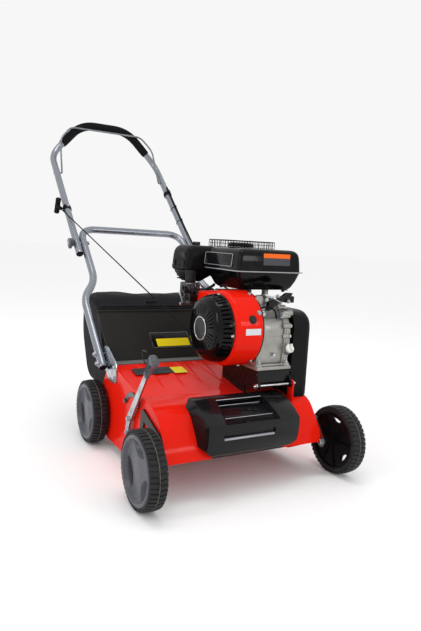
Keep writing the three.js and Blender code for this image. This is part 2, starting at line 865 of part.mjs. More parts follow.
// A tyre about the x axis whose lugs are staggered between its two rows, one facet flat on the ground
function tyre(innerX, side, y) {
  const stations = treadLugs * 2;
  const facet = Math.cos((Math.PI * (1 + 2 * lugSpread)) / stations);
  const lugRadius = wheelRadius / facet;
  const floor = lugRadius - treadDepth;
  const seat = (tyreSeatRadius + gap) / facet;
  const lip = (hubRadius + 2 * gap) / facet;
  const columns = [
    [0.08, seat], [0.16, 'left'], [0.48, 'left'], [0.84, 'right'],
    [0.97, lip + treadDepth / 2], [0.915, lip], [0.915, seat],
  ];
  const spots = [];
  for (let s = 0; s < stations; s += 1) {
    const wide = s % 2 === 0 ? -lugSpread : lugSpread;
    const angle = radians(-90 + (360 * (s - 0.5 + wide)) / stations);
    columns.forEach(([share, r]) => {
      const lug = Math.floor(s / 2) % 2 === (r === 'left' ? 0 : 1);
      const tread = lug ? lugRadius : floor;
      const radius = typeof r === 'string' ? tread : r;
      spots.push(
        side * (innerX + share * wheelWidth),
        y + radius * Math.cos(angle),
        wheelRadius + radius * Math.sin(angle),
      );
    });
  }
  const faces = [];
  const across = columns.length;
  for (let s = 0; s < stations; s += 1) {
    const here = s * across;
    const there = ((s + 1) % stations) * across;
    for (let c = 0; c < across; c += 1) {
      const next = (c + 1) % across;
      faces.push(here + c, here + next, there + next, here + c, there + next, there + c);
    }
  }
  const ring = new THREE.BufferGeometry();
  ring.setAttribute('position', new THREE.Float32BufferAttribute(spots, 3));
  ring.setIndex(faces);
  return solid(ring);
}

// A dished wheel hub with three windows and a blind bore for its axle
function hub(innerX, side, y) {
  const w = wheelWidth;
  const seat = 0.1 * w;
  const rim = 0.915 * w + gap;
  const pairs = [
    [0.84 * w, 0], [0.7 * w, hubRadius * 0.42], [0.74 * w, hubRadius * 0.84], [0.97 * w, hubRadius * 0.96],
    [rim, hubRadius], [rim, tyreSeatRadius], [seat, tyreSeatRadius],
    [0.6 * w, tyreSeatRadius * 0.93], [0.56 * w, hubBoss * 1.6], [gap, hubBoss], [gap, axleRadius + gap],
    [axleReach + gap, axleRadius + gap], [axleReach + gap, 0],
  ];
  const placed = pairs.map(([x, r]) => [side * (innerX + x), r]);
  let body = turnedX(placed, y, wheelRadius, hubSides);
  for (let i = 0; i < 3; i += 1) {
    const middle = 90 + 120 * i;
    const outer = arc(y, wheelRadius, hubRadius * 0.8, 3, middle - 34, middle + 34);
    const inner = arc(y, wheelRadius, hubRadius * 0.52, 1, middle + 22, middle - 22);
    const low = Math.min(side * innerX, side * (innerX + w)) - overrun;
    body = cut(body, sidePlate([...outer, ...inner], low, low + w + 2 * overrun));
  }
  return body;
}

// Front swing frame: cross shaft, an arm on each side and the stub axles
function frontAxleFrame() {
  const pivot = flat(swingY, swingZ);
  const elbow = flat(elbowY, elbowZ);
  const axle = flat(0, wheelRadius);
  let body = barX(swingY, swingZ, swingShaftRadius, -armOuter, armOuter);
  [-1, 1].forEach((side) => {
    const x0 = Math.min(side * armInner, side * armOuter);
    const x1 = x0 + armPlate;
    body = join(body, strap(pivot, elbow, armWidth * 1.15, armWidth, x0, x1));
    body = join(body, strap(elbow, axle, armWidth, armWidth * 1.2, x0, x1));
    const collarEnd = side * (frontWheelInner - gap / 2);
    const stubEnd = side * (frontWheelInner + axleReach);
    const from = side * armInner;
    const ends = [from, collarEnd].sort((a, b) => a - b);
    body = join(body, barX(0, wheelRadius, collarRadius, ...ends));
    body = join(body, barX(0, wheelRadius, axleRadius, Math.min(from, stubEnd), Math.max(from, stubEnd)));
  });
  const tab = flat(tabY, tabZ);
  const tabStrap = strap(pivot, tab, armWidth, linkWidth, -armOuter, -armInner);
  const tabPin = barX(tabY, tabZ, pinRadius, -(linkInner + linkPlate + pinRadius / 2), -armInner);
  return join(body, tabStrap, tabPin);
}

// Rear axle right through both side plates, with a collar beside each wheel
function rearAxle() {
  const reach = rearWheelInner + axleReach;
  const collars = [-1, 1].map((side) => {
    const from = side * (deckHalf + gap);
    const to = side * (rearWheelInner - gap / 2);
    return barX(wheelbase, wheelRadius, collarRadius, Math.min(from, to), Math.max(from, to));
  });
  return join(barX(wheelbase, wheelRadius, axleRadius, -reach, reach), ...collars);
}

// Link from the lever's short end to the swing frame's tab, with a slack hole at the tab
function leverLink() {
  const x0 = -(linkInner + linkPlate);
  const bar = strap(flat(crankY, crankZ), flat(tabY, tabZ), linkWidth, linkWidth * 1.2, x0, -linkInner);
  return cut(
    bar,
    barX(crankY, crankZ, boreRound(pinRadius), x0 - overrun, 0),
    barX(tabY, tabZ, pinRadius * 1.6, x0 - overrun, 0),
  );
}

// Depth lever: a bent flat bar on its pivot bolt, with the pin that drives the link
function depthLever() {
  const pivot = flat(leverY, leverZ);
  const x0 = -leverOuter;
  const x1 = -leverInner;
  const long = strap(pivot, flat(leverTopY, leverTopZ), leverWidth * 1.3, leverWidth * 0.9, x0, x1);
  const short = strap(pivot, flat(crankY, crankZ), leverWidth * 1.3, leverWidth, x0, x1);
  const bolt = barX(leverY, leverZ, pinRadius, x0 - pinRadius / 2, -(deckHalf - sheet - pinRadius * 0.75));
  const spacer = barX(leverY, leverZ, pinRadius * 2, x1, -(deckHalf + quadrantPlate + 2 * gap));
  const head = barX(leverY, leverZ, pinRadius * 1.8, x0 - leverPlate, x0, fastenerSides);
  const pin = barX(crankY, crankZ, pinRadius, x0 - pinRadius, -linkInner);
  return join(long, short, bolt, spacer, head, pin);
}

// Moulded grip over the top of the lever, wedge-shaped and bent back over the bar
function leverGrip() {
  const run = flat(leverTopY - leverY, leverTopZ - leverZ).normalize();
  const side = flat(run.y, -run.x);
  const middleX = -(leverInner + leverPlate / 2);
  const station = (along, halfSpan, halfWidth, shift) => {
    const centre = flat(
      leverTopY + run.x * along + side.x * shift,
      leverTopZ + run.y * along + side.y * shift,
    );
    return arc(0, 0, 1, 8).map((p) => {
      const across = side.clone().multiplyScalar(p.x * halfSpan);
      return at(middleX + p.y * halfWidth, centre.x + across.x, centre.y + across.y);
    });
  };
  const full = leverGripLength;
  const body = loft([
    station(-0.3 * full, leverWidth * 1.15, leverPlate * 1.2, 0),
    station(0, leverWidth * 1.3, leverPlate * 1.7, leverWidth * 0.2),
    station(0.4 * full, leverGripWidth * 0.6, leverPlate * 2.1, leverWidth * 0.7),
    station(0.62 * full, leverGripWidth * 0.82, leverPlate * 2.2, leverWidth * 1.1),
    station(0.7 * full, leverGripWidth * 0.7, leverPlate * 1.6, leverWidth * 1.2),
  ]);
  const socket = strap(
    flat(leverY, leverZ),
    flat(leverTopY, leverTopZ),
    leverWidth * 1.3 + gap,
    leverWidth * 0.9 + gap,
    -leverOuter - gap,
    -leverInner + gap,
  );
  return cut(body, socket);
}

// Notched quadrant behind the lever
function leverQuadrant() {
  const outer = arc(leverY, leverZ, quadrantRadius + quadrantWidth / 2, 9, 28, 138);
  const inner = arc(leverY, leverZ, quadrantRadius - quadrantWidth / 2, 9, 138, 28);
  const plate = sidePlate([...outer, ...inner], -(deckHalf + gap + quadrantPlate), -(deckHalf + gap));
  const notches = [92, 104, 116].map((angle) => {
    const edge = quadrantRadius + quadrantWidth / 2;
    const y = leverY + edge * Math.cos(radians(angle));
    const z = leverZ + edge * Math.sin(radians(angle));
    return barX(y, z, quadrantWidth / 4, -deckHalf - overrun * 2, 0);
  });
  const boltSpot = flat(
    leverY + quadrantRadius * Math.cos(radians(33)),
    leverZ + quadrantRadius * Math.sin(radians(33)),
  );
  const outside = -(deckHalf + gap + quadrantPlate + pinRadius);
  const bolt = barX(boltSpot.x, boltSpot.y, pinRadius * 1.6, outside, -(deckHalf + gap), fastenerSides);
  return join(cut(plate, ...notches), bolt);
}

// Stand that carries the engine over the sloping deck
function engineStand() {
  const rear = baseRearY + standPlate * 3;
  const front = baseFrontY - standPlate;
  const webFront = front + standPlate * 2;
  const top = standTopZ;
  const plate = block(standLeftX, standRightX, front, rear, top - standPlate, top);
  const web = (x) => cut(
    join(
      block(x, x + standPlate, webFront, rear, tieRodZ - tieRodRadius * 3, top),
      block(x, x + standPlate, coverLength + overrun, rear, lipHeight, top),
    ),
    underDeck(gap, x - overrun, x + standPlate + overrun),
  );
  const ear = (x) => strap(
    flat(tieRodY, tieRodZ),
    flat(tieRodY + tieRodRadius * 5.5, top - standPlate * 4),
    tieRodRadius * 2.6,
    tieRodRadius * 3,
    x,
    x + standPlate,
  );
  const apronLow = tieRodZ + tieRodRadius * 1.5;
  const apron = block(standLeftX, standRightX, webFront, webFront + standPlate, apronLow, top);
  const right = standRightX - standPlate;
  const body = join(plate, web(standLeftX), web(right), ear(standLeftX), ear(right), apron);
  return cut(body, barX(tieRodY, tieRodZ, tieRodRadius + gap, standLeftX - overrun, standRightX + overrun));
}

// Tie rod through the stand and the red lug, with a nut on each end
function tieRod() {
  const nut = tieRodRadius * 1.5;
  const left = standLeftX - nut * 2;
  const right = standRightX + standPlate + nut * 2;
  const bar = barX(tieRodY, tieRodZ, tieRodRadius, left, right);
  const nutRadius = tieRodRadius * 1.9;
  const leftNut = barX(tieRodY, tieRodZ, nutRadius, standLeftX - gap - nut, standLeftX - gap, fastenerSides);
  const lugEnd = standRightX + standPlate + 2 * gap;
  const rightNut = barX(tieRodY, tieRodZ, nutRadius, lugEnd, lugEnd + nut, fastenerSides);
  return join(bar, leftNut, rightNut);
}

// Outline of the fan shroud in the side view, drawn in from its edge by an amount
function shroudOutline(inset) {
  const radius = shroudRadius - inset;
  const round = arc(crankAxisY, crankAxisZ, radius, 11, 72, 282);
  const rearY = crankAxisY + shroudRadius * 1.28 - inset;
  const topRear = crankAxisZ + shroudRadius * 0.87 - inset;
  const lowRear = crankAxisZ - shroudRadius * 0.35;
  const foot = flat(crankAxisY + shroudRadius * 0.68, crankAxisZ - shroudRadius * 0.92 + inset);
  const chamfer = shroudRadius * 0.19;
  return [
    ...round, foot, flat(rearY - shroudRadius * 0.2, lowRear),
    flat(rearY, topRear - chamfer), flat(rearY - chamfer / 3, topRear),
  ];
}

// Red fan shroud, open at the back, with the round opening that the starter housing closes
function fanShroud() {
  const edge = shroudEdge;
  const front = sidePlate(shroudOutline(edge), shroudFrontX, shroudFrontX + edge);
  const middle = sidePlate(shroudOutline(edge / 3), shroudFrontX + edge / 3, shroudFrontX + edge);
  const rear = sidePlate(shroudOutline(0), shroudFrontX + edge, shroudRearX);
  const cavity = sidePlate(shroudOutline(edge + shroudWall / 3), shroudFrontX + shroudWall, shroudRearX);
  const open = sidePlate(shroudOutline(shroudWall), shroudFrontX + edge + shroudWall, shroudRearX + overrun);
  const mouthEnds = [shroudFrontX - overrun, shroudFrontX + overrun];
  const mouth = barX(crankAxisY, crankAxisZ, shroudOpening, ...mouthEnds, 20);
  return cut(join(front, middle, rear), cavity, open, mouth);
}

// Black starter housing: a domed grille with radial slots over the fan
function starterHousing() {
  const back = shroudFrontX - gap;
  const front = back - starterDepth;
  const wall = shroudWall;
  const r = starterRadius;
  const deep = starterDepth;
  const shoulder = back - deep * 0.57;
  const crown = front + wall * 4;
  let body = turnedX([
    [back, r], [back - wall, r], [back - wall * 2, r * 0.95], [shoulder, r * 0.91], [crown, r * 0.78],
    [front + wall * 1.3, r * 0.4], [front, r * 0.37], [front, 0], [front + wall, 0], [crown + wall, r * 0.74],
    [shoulder + wall, r * 0.91 - wall], [back, r * 0.93 - wall], [back, r],
  ], crankAxisY, crankAxisZ, 18);
  const slotHalf = starterSlotWidth / 2;
  for (let i = 0; i < starterSlots; i += 1) {
    const angle = (360 * i) / starterSlots;
    const side = block(back - deep * 0.51, back - deep * 0.13, -slotHalf, slotHalf, r * 0.8, r);
    const face = block(front - overrun, front + deep * 0.45, -slotHalf, slotHalf, r * 0.48, r * 0.72);
    [side, face].filter((_, k) => k === 0 || i % 3 === 0).forEach((slot) => {
      body = cut(body, slot.rotate([angle, 0, 0]).translate([0, crankAxisY, crankAxisZ]));
    });
  }
  return body;
}

// Cooling fan on the crankshaft
function coolingFan() {
  const left = fanLeft;
  const depth = fanDepth;
  const bore = boreRound(crankRadius);
  const half = fanBlade / 2;
  let body = turnedX([
    [left + depth, bore], [left + depth, fanRadius], [left + depth - fanBlade, fanRadius],
    [left + depth - fanBlade * 3, fanRadius * 0.45], [left + fanHubInset, fanRadius * 0.4],
    [left + fanHubInset, bore], [left + depth, bore],
  ], crankAxisY, crankAxisZ, 12);
  for (let i = 0; i < fanBlades; i += 1) {
    const blade = block(left, left + depth - fanBlade / 2, -half, half, fanRadius * 0.55, fanRadius * 0.96)
      .rotate([(360 * i) / fanBlades, 0, 0])
      .translate([0, crankAxisY, crankAxisZ]);
    body = join(body, blade);
  }
  return body;
}

// Cast crankcase with its foot, side cover flange, bolt bosses and the plate behind the fan
function crankcase() {
  const half = crankcaseHalf;
  const rise = crankAxisZ - engineBaseZ;
  const bodyShape = softened([
    flat(crankAxisY - half * 0.9, engineBaseZ), flat(crankAxisY + half, engineBaseZ),
    flat(crankAxisY + half, crankAxisZ + half * 0.4), flat(crankAxisY + half * 0.4, crankAxisZ + half),
    flat(crankAxisY - half * 0.4, crankAxisZ + half * 0.9), flat(crankAxisY - half, crankAxisZ + half * 0.2),
    flat(crankAxisY - half, crankAxisZ - rise * 0.5),
  ], half * 0.28, 1);
  const coverShape = softened(bodyShape.map((p) => flat(
    crankAxisY + (p.x - crankAxisY) * seatShare,
    crankAxisZ + (p.y - crankAxisZ) * (p.y > crankAxisZ ? seatShare : 1),
  )), 0);
  const body = sidePlate(bodyShape, crankcaseLeftX, crankcaseRightX);
  const flangeX = crankcaseRightX - flangeInset;
  const flange = sidePlate(coverShape, flangeX, flangeX + flangeThickness);
  const foot = block(baseLeftX, baseRightX, baseFrontY, baseRearY, engineBaseZ, engineBaseZ + baseThickness);
  const rearPlate = sidePlate(shroudOutline(baseInset), crankcaseLeftX, crankcaseLeftX + backPlate);
  const bossStart = crankcaseRightX - flangeThickness;
  const boss = barX(crankAxisY, crankAxisZ, mainBossRadius, bossStart, bulkheadX - gap, 12);
  const bosses = [148, 182, 214, 20].map((angle) => {
    const y = crankAxisY + half * Math.cos(radians(angle)) * 0.98;
    const z = crankAxisZ + half * Math.sin(radians(angle)) * 0.9;
    const head = crankcaseRightX + bossBoltRadius;
    return join(
      barX(y, z, bossRadius, flangeX - bossBoltRadius, crankcaseRightX, fastenerSides),
      barX(y, z, bossBoltRadius, crankcaseRightX, head, fastenerSides),
    );
  });
  const postZ = tankBottomZ - gap;
  const post = (x, y) => rod(at(x, y, crankAxisZ), at(x, y, postZ), postRadius);
  const posts = [
    post(cylinderX - postSpread * 0.43, crankAxisY - postSpread * 0.4),
    post(cylinderX + postSpread * 0.75, crankAxisY + postSpread * 0.6),
  ];
  const barrelHalf = cylinderHalf * barrelShare;
  const seatRear = crankAxisY + half * seatShare;
  const seatLow = crankAxisZ + half * 0.05;
  const seatHigh = crankAxisZ + half * 0.55;
  const seatFront = seatRear - half / 2;
  const seatRight = flangeX + overrun;
  const seat = block(cylinderX - barrelHalf, seatRight, seatFront, seatRear, seatLow, seatHigh);
  const core = join(body, flange, seat, foot, rearPlate, boss, ...bosses, ...posts);
  const boreStart = crankcaseLeftX - overrun;
  const crankBore = barX(crankAxisY, crankAxisZ, boreRound(crankRadius), boreStart, bulkheadX + overrun);
  const bore = rod(dipstickSpot(0), dipstickSpot(-dipstickDepth), dipstickRadius * 0.6 + 2 * gap);
  const neck = rod(dipstickSpot(-dipstickRadius * 1.4), dipstickSpot(-gap), dipstickRadius * 1.15);
  return cut(join(core, neck), crankBore, bore);
}

// Oil dipstick at the front foot of the crankcase, screwed in on a slant
function dipstickSpot(depth) {
  const slant = radians(28);
  const away = dipstickRadius * 1.2;
  return at(
    crankcaseRightX - away,
    crankAxisY - crankcaseHalf * 0.98 - away - depth * Math.cos(slant),
    crankAxisZ - crankcaseHalf * 0.62 + depth * Math.sin(slant),
  );
}

function dipstick() {
  const thick = dipstickRadius * 0.3;
  const stick = rod(dipstickSpot(thick - dipstickDepth), dipstickSpot(thick), dipstickRadius * 0.6);
  const head = rod(dipstickSpot(gap), dipstickSpot(dipstickHead), dipstickRadius * 1.25, 12);
  const a = dipstickSpot(dipstickHead);
  const b = dipstickSpot(dipstickHead + dipstickRadius);
  const wing = block(a.x - thick, a.x + thick, b.y, a.y + thick, a.z - thick * 2, a.z + thick * 4.3);
  return join(stick, head, wing);
}

// Crankshaft from the fan, through the crankcase, to the engine pulley
function crankshaft() {
  const nut = crankRadius * 0.6;
  const fanHub = fanLeft + fanHubInset;
  const pulleyEnd = pulleyX + pulleyWidth;
  return join(
    barX(crankAxisY, crankAxisZ, crankRadius, fanHub - gap - nut, pulleyEnd + gap + nut),
    barX(crankAxisY, crankAxisZ, crankRadius * 1.6, pulleyEnd + gap, pulleyEnd + gap + nut, fastenerSides),
    barX(crankAxisY, crankAxisZ, crankRadius * 1.6, fanHub - gap - nut, fanHub - gap, fastenerSides),
  );
}

// Finned cylinder with its head and valve cover, leaning up to the rear
function cylinderHead() {
  const half = cylinderHalf;
  const tall = half * 0.84;
  const local = (d0, d1, halfX, halfZ) => block(-halfX, halfX, d0, d1, -halfZ, halfZ);
  let body = local(barrelStart, barrelEnd, half * barrelShare, tall * 0.78);
  const end = finThickness * 1.5;
  for (let i = 0; i < finCount; i += 1) {
    const d = barrelStart + end + ((barrelEnd - barrelStart - end * 2) * i) / (finCount - 1);
    body = join(body, local(d, d + finThickness, half, tall));
  }
  const coverStart = headEnd - finThickness * 4;
  body = join(body, local(barrelEnd - finThickness / 2, coverStart, half, tall));
  body = join(body, local(coverStart - finThickness / 4, headEnd, half * 0.8, tall * 0.8));
  const set = body.rotate([cylinderTilt, 0, 0]).translate([cylinderX, crankAxisY, crankAxisZ]);
  const caseRear = crankAxisY + crankcaseHalf * seatShare + gap;
  return cut(set, block(shroudRearX, crankcaseRightX, crankAxisY, caseRear, engineBaseZ, tankBottomZ));
}

// Plan outline of the fuel tank, with its cut front corner
function tankPlan() {
  const corners = [
    flat(tankLeftX, tankRearY), flat(tankLeftX, tankFrontY),
    flat(tankRightX, tankFrontY), flat(tankRightX, tankRearY),
  ];
  return softened(corners, tankCorner, 3);
}

// Fuel tank in two pressings that meet at the seam flange, with its filler neck
function fuelTank() {
  const plan = tankPlan();
  const middle = flat((tankLeftX + tankRightX) / 2, (tankFrontY + tankRearY) / 2);
  const ring = (height, inset) => planRing(plan, height, inset, middle);
  const seam = tankSeam / 2;
  const draft = tankDraft;
  const tall = tankTopZ - tankSeamZ;
  const deep = tankSeamZ - tankBottomZ;
  const body = loft([
    ring(tankBottomZ, tankBottomInset), ring(tankBottomZ + deep * 0.25, draft * 4),
    ring(tankSeamZ - seam, draft),
    ring(tankSeamZ - seam, draft - tankFlange), ring(tankSeamZ + seam, draft - tankFlange),
    ring(tankSeamZ + seam, draft), ring(tankSeamZ + tall * 0.72, draft * 1.6),
    ring(tankTopZ - tall * 0.08, draft * 3), ring(tankTopZ, draft * 5.2),
  ]);
  const neckTop = at(capX, capY, tankTopZ + neckHeight);
  const neck = rod(at(capX, capY, tankTopZ - overrun), neckTop, capRadius * 0.8, 12);
  return join(body, neck);
}

// Fuel cap with finger lobes round its rim
function fuelCap() {
  const low = tankTopZ + neckHeight + gap;
  const rim = (radius, deep) => Array.from({ length: capLobes * 3 }, (_, i) => {
    const angle = radians((360 * i) / (capLobes * 3));
    const reach = i % 3 === 0 ? radius - deep : radius;
    return flat(capX + reach * Math.cos(angle), capY + reach * Math.sin(angle));
  });
  const ring = (height, radius, deep) => rim(radius, deep).map((p) => at(p.x, p.y, height));
  return loft([
    ring(low, capRadius, capRadius * 0.12), ring(low + capHeight * 0.65, capRadius, capRadius * 0.12),
    ring(low + capHeight, capRadius * 0.8, 0),
  ]);
}

// Air cleaner: housing, drawn-in top, lower tray and the elbow down to the carburettor
function airCleaner() {
  const corner = cleanerWidth * 0.19;
  const plan = softened(rectangle(cleanerLeftX, cleanerRightX, cleanerFrontY, cleanerRearY), corner, 2);
  const middle = flat((cleanerLeftX + cleanerRightX) / 2, (cleanerFrontY + cleanerRearY) / 2);
  const ring = (height, inset) => planRing(plan, height, inset, middle);
  const tall = cleanerTopZ - cleanerBottomZ;
  const lip = cleanerLip;
  const body = loft([
    ring(cleanerBottomZ, lip * 2.3), ring(cleanerBottomZ + lip, lip * 0.7),
    ring(cleanerBottomZ + tall * 0.2, 0),
    ring(cleanerBottomZ + tall * 0.2, lip), ring(cleanerBottomZ + tall * 0.78, lip * 2),
    ring(cleanerTopZ - lip * 1.3, lip * 4), ring(cleanerTopZ, corner),
  ]);
  const spot = (height) => at(carbX, carbY, height);
  const elbowLow = spot(carbZ + carbHeight / 2 + gap);
  const elbow = rod(elbowLow, spot(cleanerBottomZ + lip * 1.7), carbWidth * 0.33, 10);
  const nutHalf = wingNutSpan / 4;
  const wingHalf = wingNutSpan / 2;
  const nut = rod(
    at(middle.x, middle.y, cleanerTopZ - lip),
    at(middle.x, middle.y, cleanerTopZ + nutHalf),
    nutHalf,
  );
  const wing = block(
    middle.x - wingHalf, middle.x + wingHalf, middle.y - wingHalf / 6, middle.y + wingHalf / 6,
    cleanerTopZ - lip, cleanerTopZ + wingHalf * 0.9,
  );
  return join(body, elbow, nut, wing);
}

// Carburettor body with its bowl and the intake to the head
function carburettor() {
  const half = carbWidth / 2;
  const tall = carbHeight / 2;
  const headLeft = cylinderX - cylinderHalf;
  const square = rectangle(carbX - half, carbX + half, carbY - half, carbY + half);
  const body = planPlate(softened(square, half / 4, 2), carbZ - tall, carbZ + tall);
  const bowlTop = carbZ - tall * 0.95;
  const bowl = turnedZ([
    [bowlTop - half * 1.05, 0], [bowlTop - half * 1.05, half * 0.6], [bowlTop - half * 0.85, half * 0.86],
    [bowlTop, half * 0.86], [bowlTop, 0],
  ], carbX, carbY, 12);
  const intakeZ = carbZ - tall * 0.5;
  const intake = rod(at(carbX, carbY, intakeZ), at(headLeft - gap, carbY, intakeZ), intakeRadius, 10);
  const flangeLeft = headLeft - gap - intakeRadius * 0.36;
  const flange = block(
    flangeLeft, headLeft - gap, carbY - half * 0.92, carbY + half / 2, intakeZ - intakeRadius * 1.15,
    intakeZ + intakeRadius * 0.7,
  );
  return join(body, bowl, intake, flange);
}

// A small control lever on the left side of the carburettor, turning about the x axis
function controlLever(y, z, angle, length) {
  const face = carbX - carbWidth / 2;
  const tip = flat(y + length * Math.cos(radians(angle)), z + length * Math.sin(radians(angle)));
  const round = controlRound;
  const back = face - gap - round * 0.6;
  const plate = strap(flat(y, z), tip, round * 1.4, round, back - round * 0.4, back);
  const spindle = barX(y, z, round, back, face - gap);
  const knob = barX(tip.x, tip.y, round, back - round * 2, back);
  return join(plate, spindle, knob);
}

function chokeLever() {
  return controlLever(carbY - carbWidth * 0.21, carbZ + carbHeight * 0.14, 200, chokeLength);
}

function throttleLever() {
  return controlLever(carbY + carbWidth * 0.17, carbZ - carbHeight * 0.32, 235, throttleLength);
}

// Hollow silencer box with its outlet at the rear and the pipe down to the exhaust port
function silencer() {
  const corner = (silencerRearY - silencerFrontY) * 0.21;
  const plan = softened(rectangle(silencerLeftX, silencerRightX, silencerFrontY, silencerRearY), corner, 2);
  const middle = flat((silencerLeftX + silencerRightX) / 2, (silencerFrontY + silencerRearY) / 2);
  const box = (wall) => loft([
    planRing(plan, silencerBottomZ + wall, corner * 0.6 + wall, middle),
    planRing(plan, silencerBottomZ + corner * 0.4, wall, middle),
    planRing(plan, silencerTopZ - corner * 0.5, wall, middle),
    planRing(plan, silencerTopZ - wall, corner * 0.7 + wall, middle),
  ]);
  const outletZ = (silencerBottomZ + silencerTopZ) / 2;
  const outletEnd = at(middle.x, silencerRearY + overrun, outletZ);
  const outlet = rod(at(middle.x, middle.y, outletZ), outletEnd, outletRadius);
  const headRight = cylinderX + cylinderHalf;
  const portZ = carbZ - carbHeight / 4;
  const elbowX = headRight + exhaustRadius * 2.6;
  const pipe = piping(bentPath([
    at(headRight + gap, carbY, portZ), at(elbowX, carbY, portZ),
    at(elbowX, carbY + exhaustRadius, silencerBottomZ + exhaustRadius),
  ], exhaustRadius * 2), exhaustRadius);
  return cut(join(box(0), pipe), box(silencerWall), outlet);
}

// Welded wire guard round the top of the silencer: two hoops, upright wires and bars across
function silencerGuard() {
  const left = silencerLeftX - guardPitch / 2;
  const right = silencerRightX + guardPitch / 2;
  const front = silencerFrontY - guardWire - gap;
  const rear = silencerRearY + guardWire + gap;
  const low = guardTopZ - guardHeight;
  const hoop = (z) => cut(
    block(left, right, front, rear, z, z + guardWire),
    block(left + guardWire, right - guardWire, front + guardWire, rear - guardWire, z - overrun, z + overrun),
  );
  const places = (a0, a1) => {
    const cells = Math.round((a1 - a0 - guardWire) / guardPitch);
    return Array.from({ length: cells + 1 }, (_, i) => a0 + ((a1 - a0 - guardWire) * i) / cells);
  };
  const upright = (x, y) => block(x, x + guardWire, y, y + guardWire, low, guardTopZ);
  const rows = places(left, right).flatMap((x) => [upright(x, front), upright(x, rear - guardWire)]);
  const ends = places(front, rear).slice(1, -1).flatMap((y) => (
    [upright(left, y), upright(right - guardWire, y)]));
  const bars = places(left, right).filter((_, i) => i % 3 === 1).map((x) => (
    block(x, x + guardWire, front, rear, guardTopZ - guardWire, guardTopZ)));
  const feet = places(left, right).filter((_, i) => i % 4 === 1).map((x) => (
    block(x, x + guardWire, front + guardWire, front + guardWire * 8, silencerTopZ + gap, guardTopZ)));
  const hoops = [low, guardTopZ - guardWire].map(hoop);
  return join(...hoops, ...rows, ...ends, ...bars, ...feet);
}

// Handle bracket beside the deck's rear corner
function handleBracket(side) {
  const shares = [[-1, -0.88], [-0.12, -0.96], [0.92, 0.12], [0.66, 0.96], [0.27, 1], [-0.92, 0.28]];
  const corners = scaled(shares, hingeRodY, bracketReach, hingeRodZ, bracketRise);
  const outline = softened(corners, bracketReach * 0.15, 2);
  const inner = deckHalf + gap;
  const x0 = Math.min(side * inner, side * (inner + bracketPlate));
  const rodHole = arc(hingeRodY, hingeRodZ, hingeRodRadius + gap, 8).reverse();
  const plate = sidePlate(outline, x0, x0 + bracketPlate, [rodHole]);
  const bolts = [-0.6, 0.04].map((share) => {
    const outside = side * (inner + bracketPlate + bracketBolt * 0.9);
    const from = side * inner;
    const y = hingeRodY - bracketReach * 0.78;
    const z = hingeRodZ + bracketRise * share;
    return barX(y, z, bracketBolt, Math.min(from, outside), Math.max(from, outside), fastenerSides);
  });
  return join(plate, ...bolts);
}

// Both lower tubes and the crossbar, bent from one tube
function lowerHandle() {
  const half = (side) => [
    alongHandle(side * tubeHalf, 0),
    alongHandle(side * tubeHalf, joggleStart),
    alongHandle(side * lowerTopHalf, joggleEnd),
    alongHandle(side * lowerTopHalf, crossbarReach),
  ];
  const corners = [...half(-1), ...half(1).reverse()];
  const tube = piping(bentPath(corners, tubeBend, 2), tubeRadius);
  const joint = alongHandle(0, jointReach);
  const holes = barX(joint.y, joint.z, boreRound(jointBoltRadius), -tubeHalf, tubeHalf);
  const bolts = [-1, 1].flatMap((side) => footBoltReaches.map((reach) => {
    const spot = alongHandle(0, reach);
    const ends = [tubeHalf - tubeRadius * 0.6, tubeHalf + tubeRadius + bracketBolt * 1.5];
    const places = ends.map((x) => side * x).sort((a, b) => a - b);
    return barX(spot.y, spot.z, bracketBolt, ...places, fastenerSides);
  }));
  return join(cut(tube, holes), ...bolts);
}

// The corners of the upper loop, from the left tube's lower end to the right one's
function upperCorners() {
  const half = (side) => [
    alongHandle(side * upperHalf, upperStart),
    alongHandle(side * upperHalf, upperReach),
    at(side * topBarHalf, topBarY, topBarZ),
  ];
  return [...half(-1), ...half(1).reverse()];
}

// The upper loop's path: its shoulders bend more tightly than the ends of its top bar
function upperStations() {
  return bentPath(upperCorners(), [shoulderBend, tubeBend, tubeBend, shoulderBend], shoulderStations - 1);
}

function upperHandle() {
  const tube = piping(upperStations(), tubeRadius);
  const joint = alongHandle(0, jointReach);
  const pivot = alongHandle(0, bailReach);
  const width = upperHalf + tubeRadius + overrun;
  return cut(
    tube,
    barX(joint.y, joint.z, boreRound(jointBoltRadius), -width, width),
    barX(pivot.y, pivot.z, boreRound(bailRadius), -width, width),
  );
}

// Foam sleeve over both slanted ends and the top bar of the loop, from one shoulder to the other
function foamGrip() {
  const path = upperStations().slice(shoulderStations, -shoulderStations);
  const past = (end, next) => end.clone().add(end.clone().sub(next).normalize().multiplyScalar(overrun));
  const longer = [past(path[0], path[1]), ...path, past(path.at(-1), path.at(-2))];
  return cut(piping(path, foamRadius), piping(longer, boreRound(tubeRadius)));
}

// Wire bail that swings up to the foam grip
function bail() {
  const pivot = alongHandle(0, bailReach);
  const inside = upperHalf - tubeRadius - gap - bailRadius * 2;
  const raised = (share) => flat(
    pivot.y + bailLength * share * Math.cos(radians(bailAngle)),
    pivot.z + bailLength * share * Math.sin(radians(bailAngle)),
  );
  const knee = raised(0.72);
  const top = raised(1);
  const half = (side) => [
    at(side * (upperHalf + tubeRadius * 0.6), pivot.y, pivot.z),
    at(side * inside, pivot.y, pivot.z),
    at(side * (inside - bailRadius * 2.3), knee.x, knee.y),
    at(side * bailHalfTop, top.x, top.y),
  ];
  const bends = [bailRadius, bailBend, bailBend, bailBend, bailBend, bailRadius];
  return piping(bentPath([...half(-1), ...half(1).reverse()], bends, 2), bailRadius, 6);
}

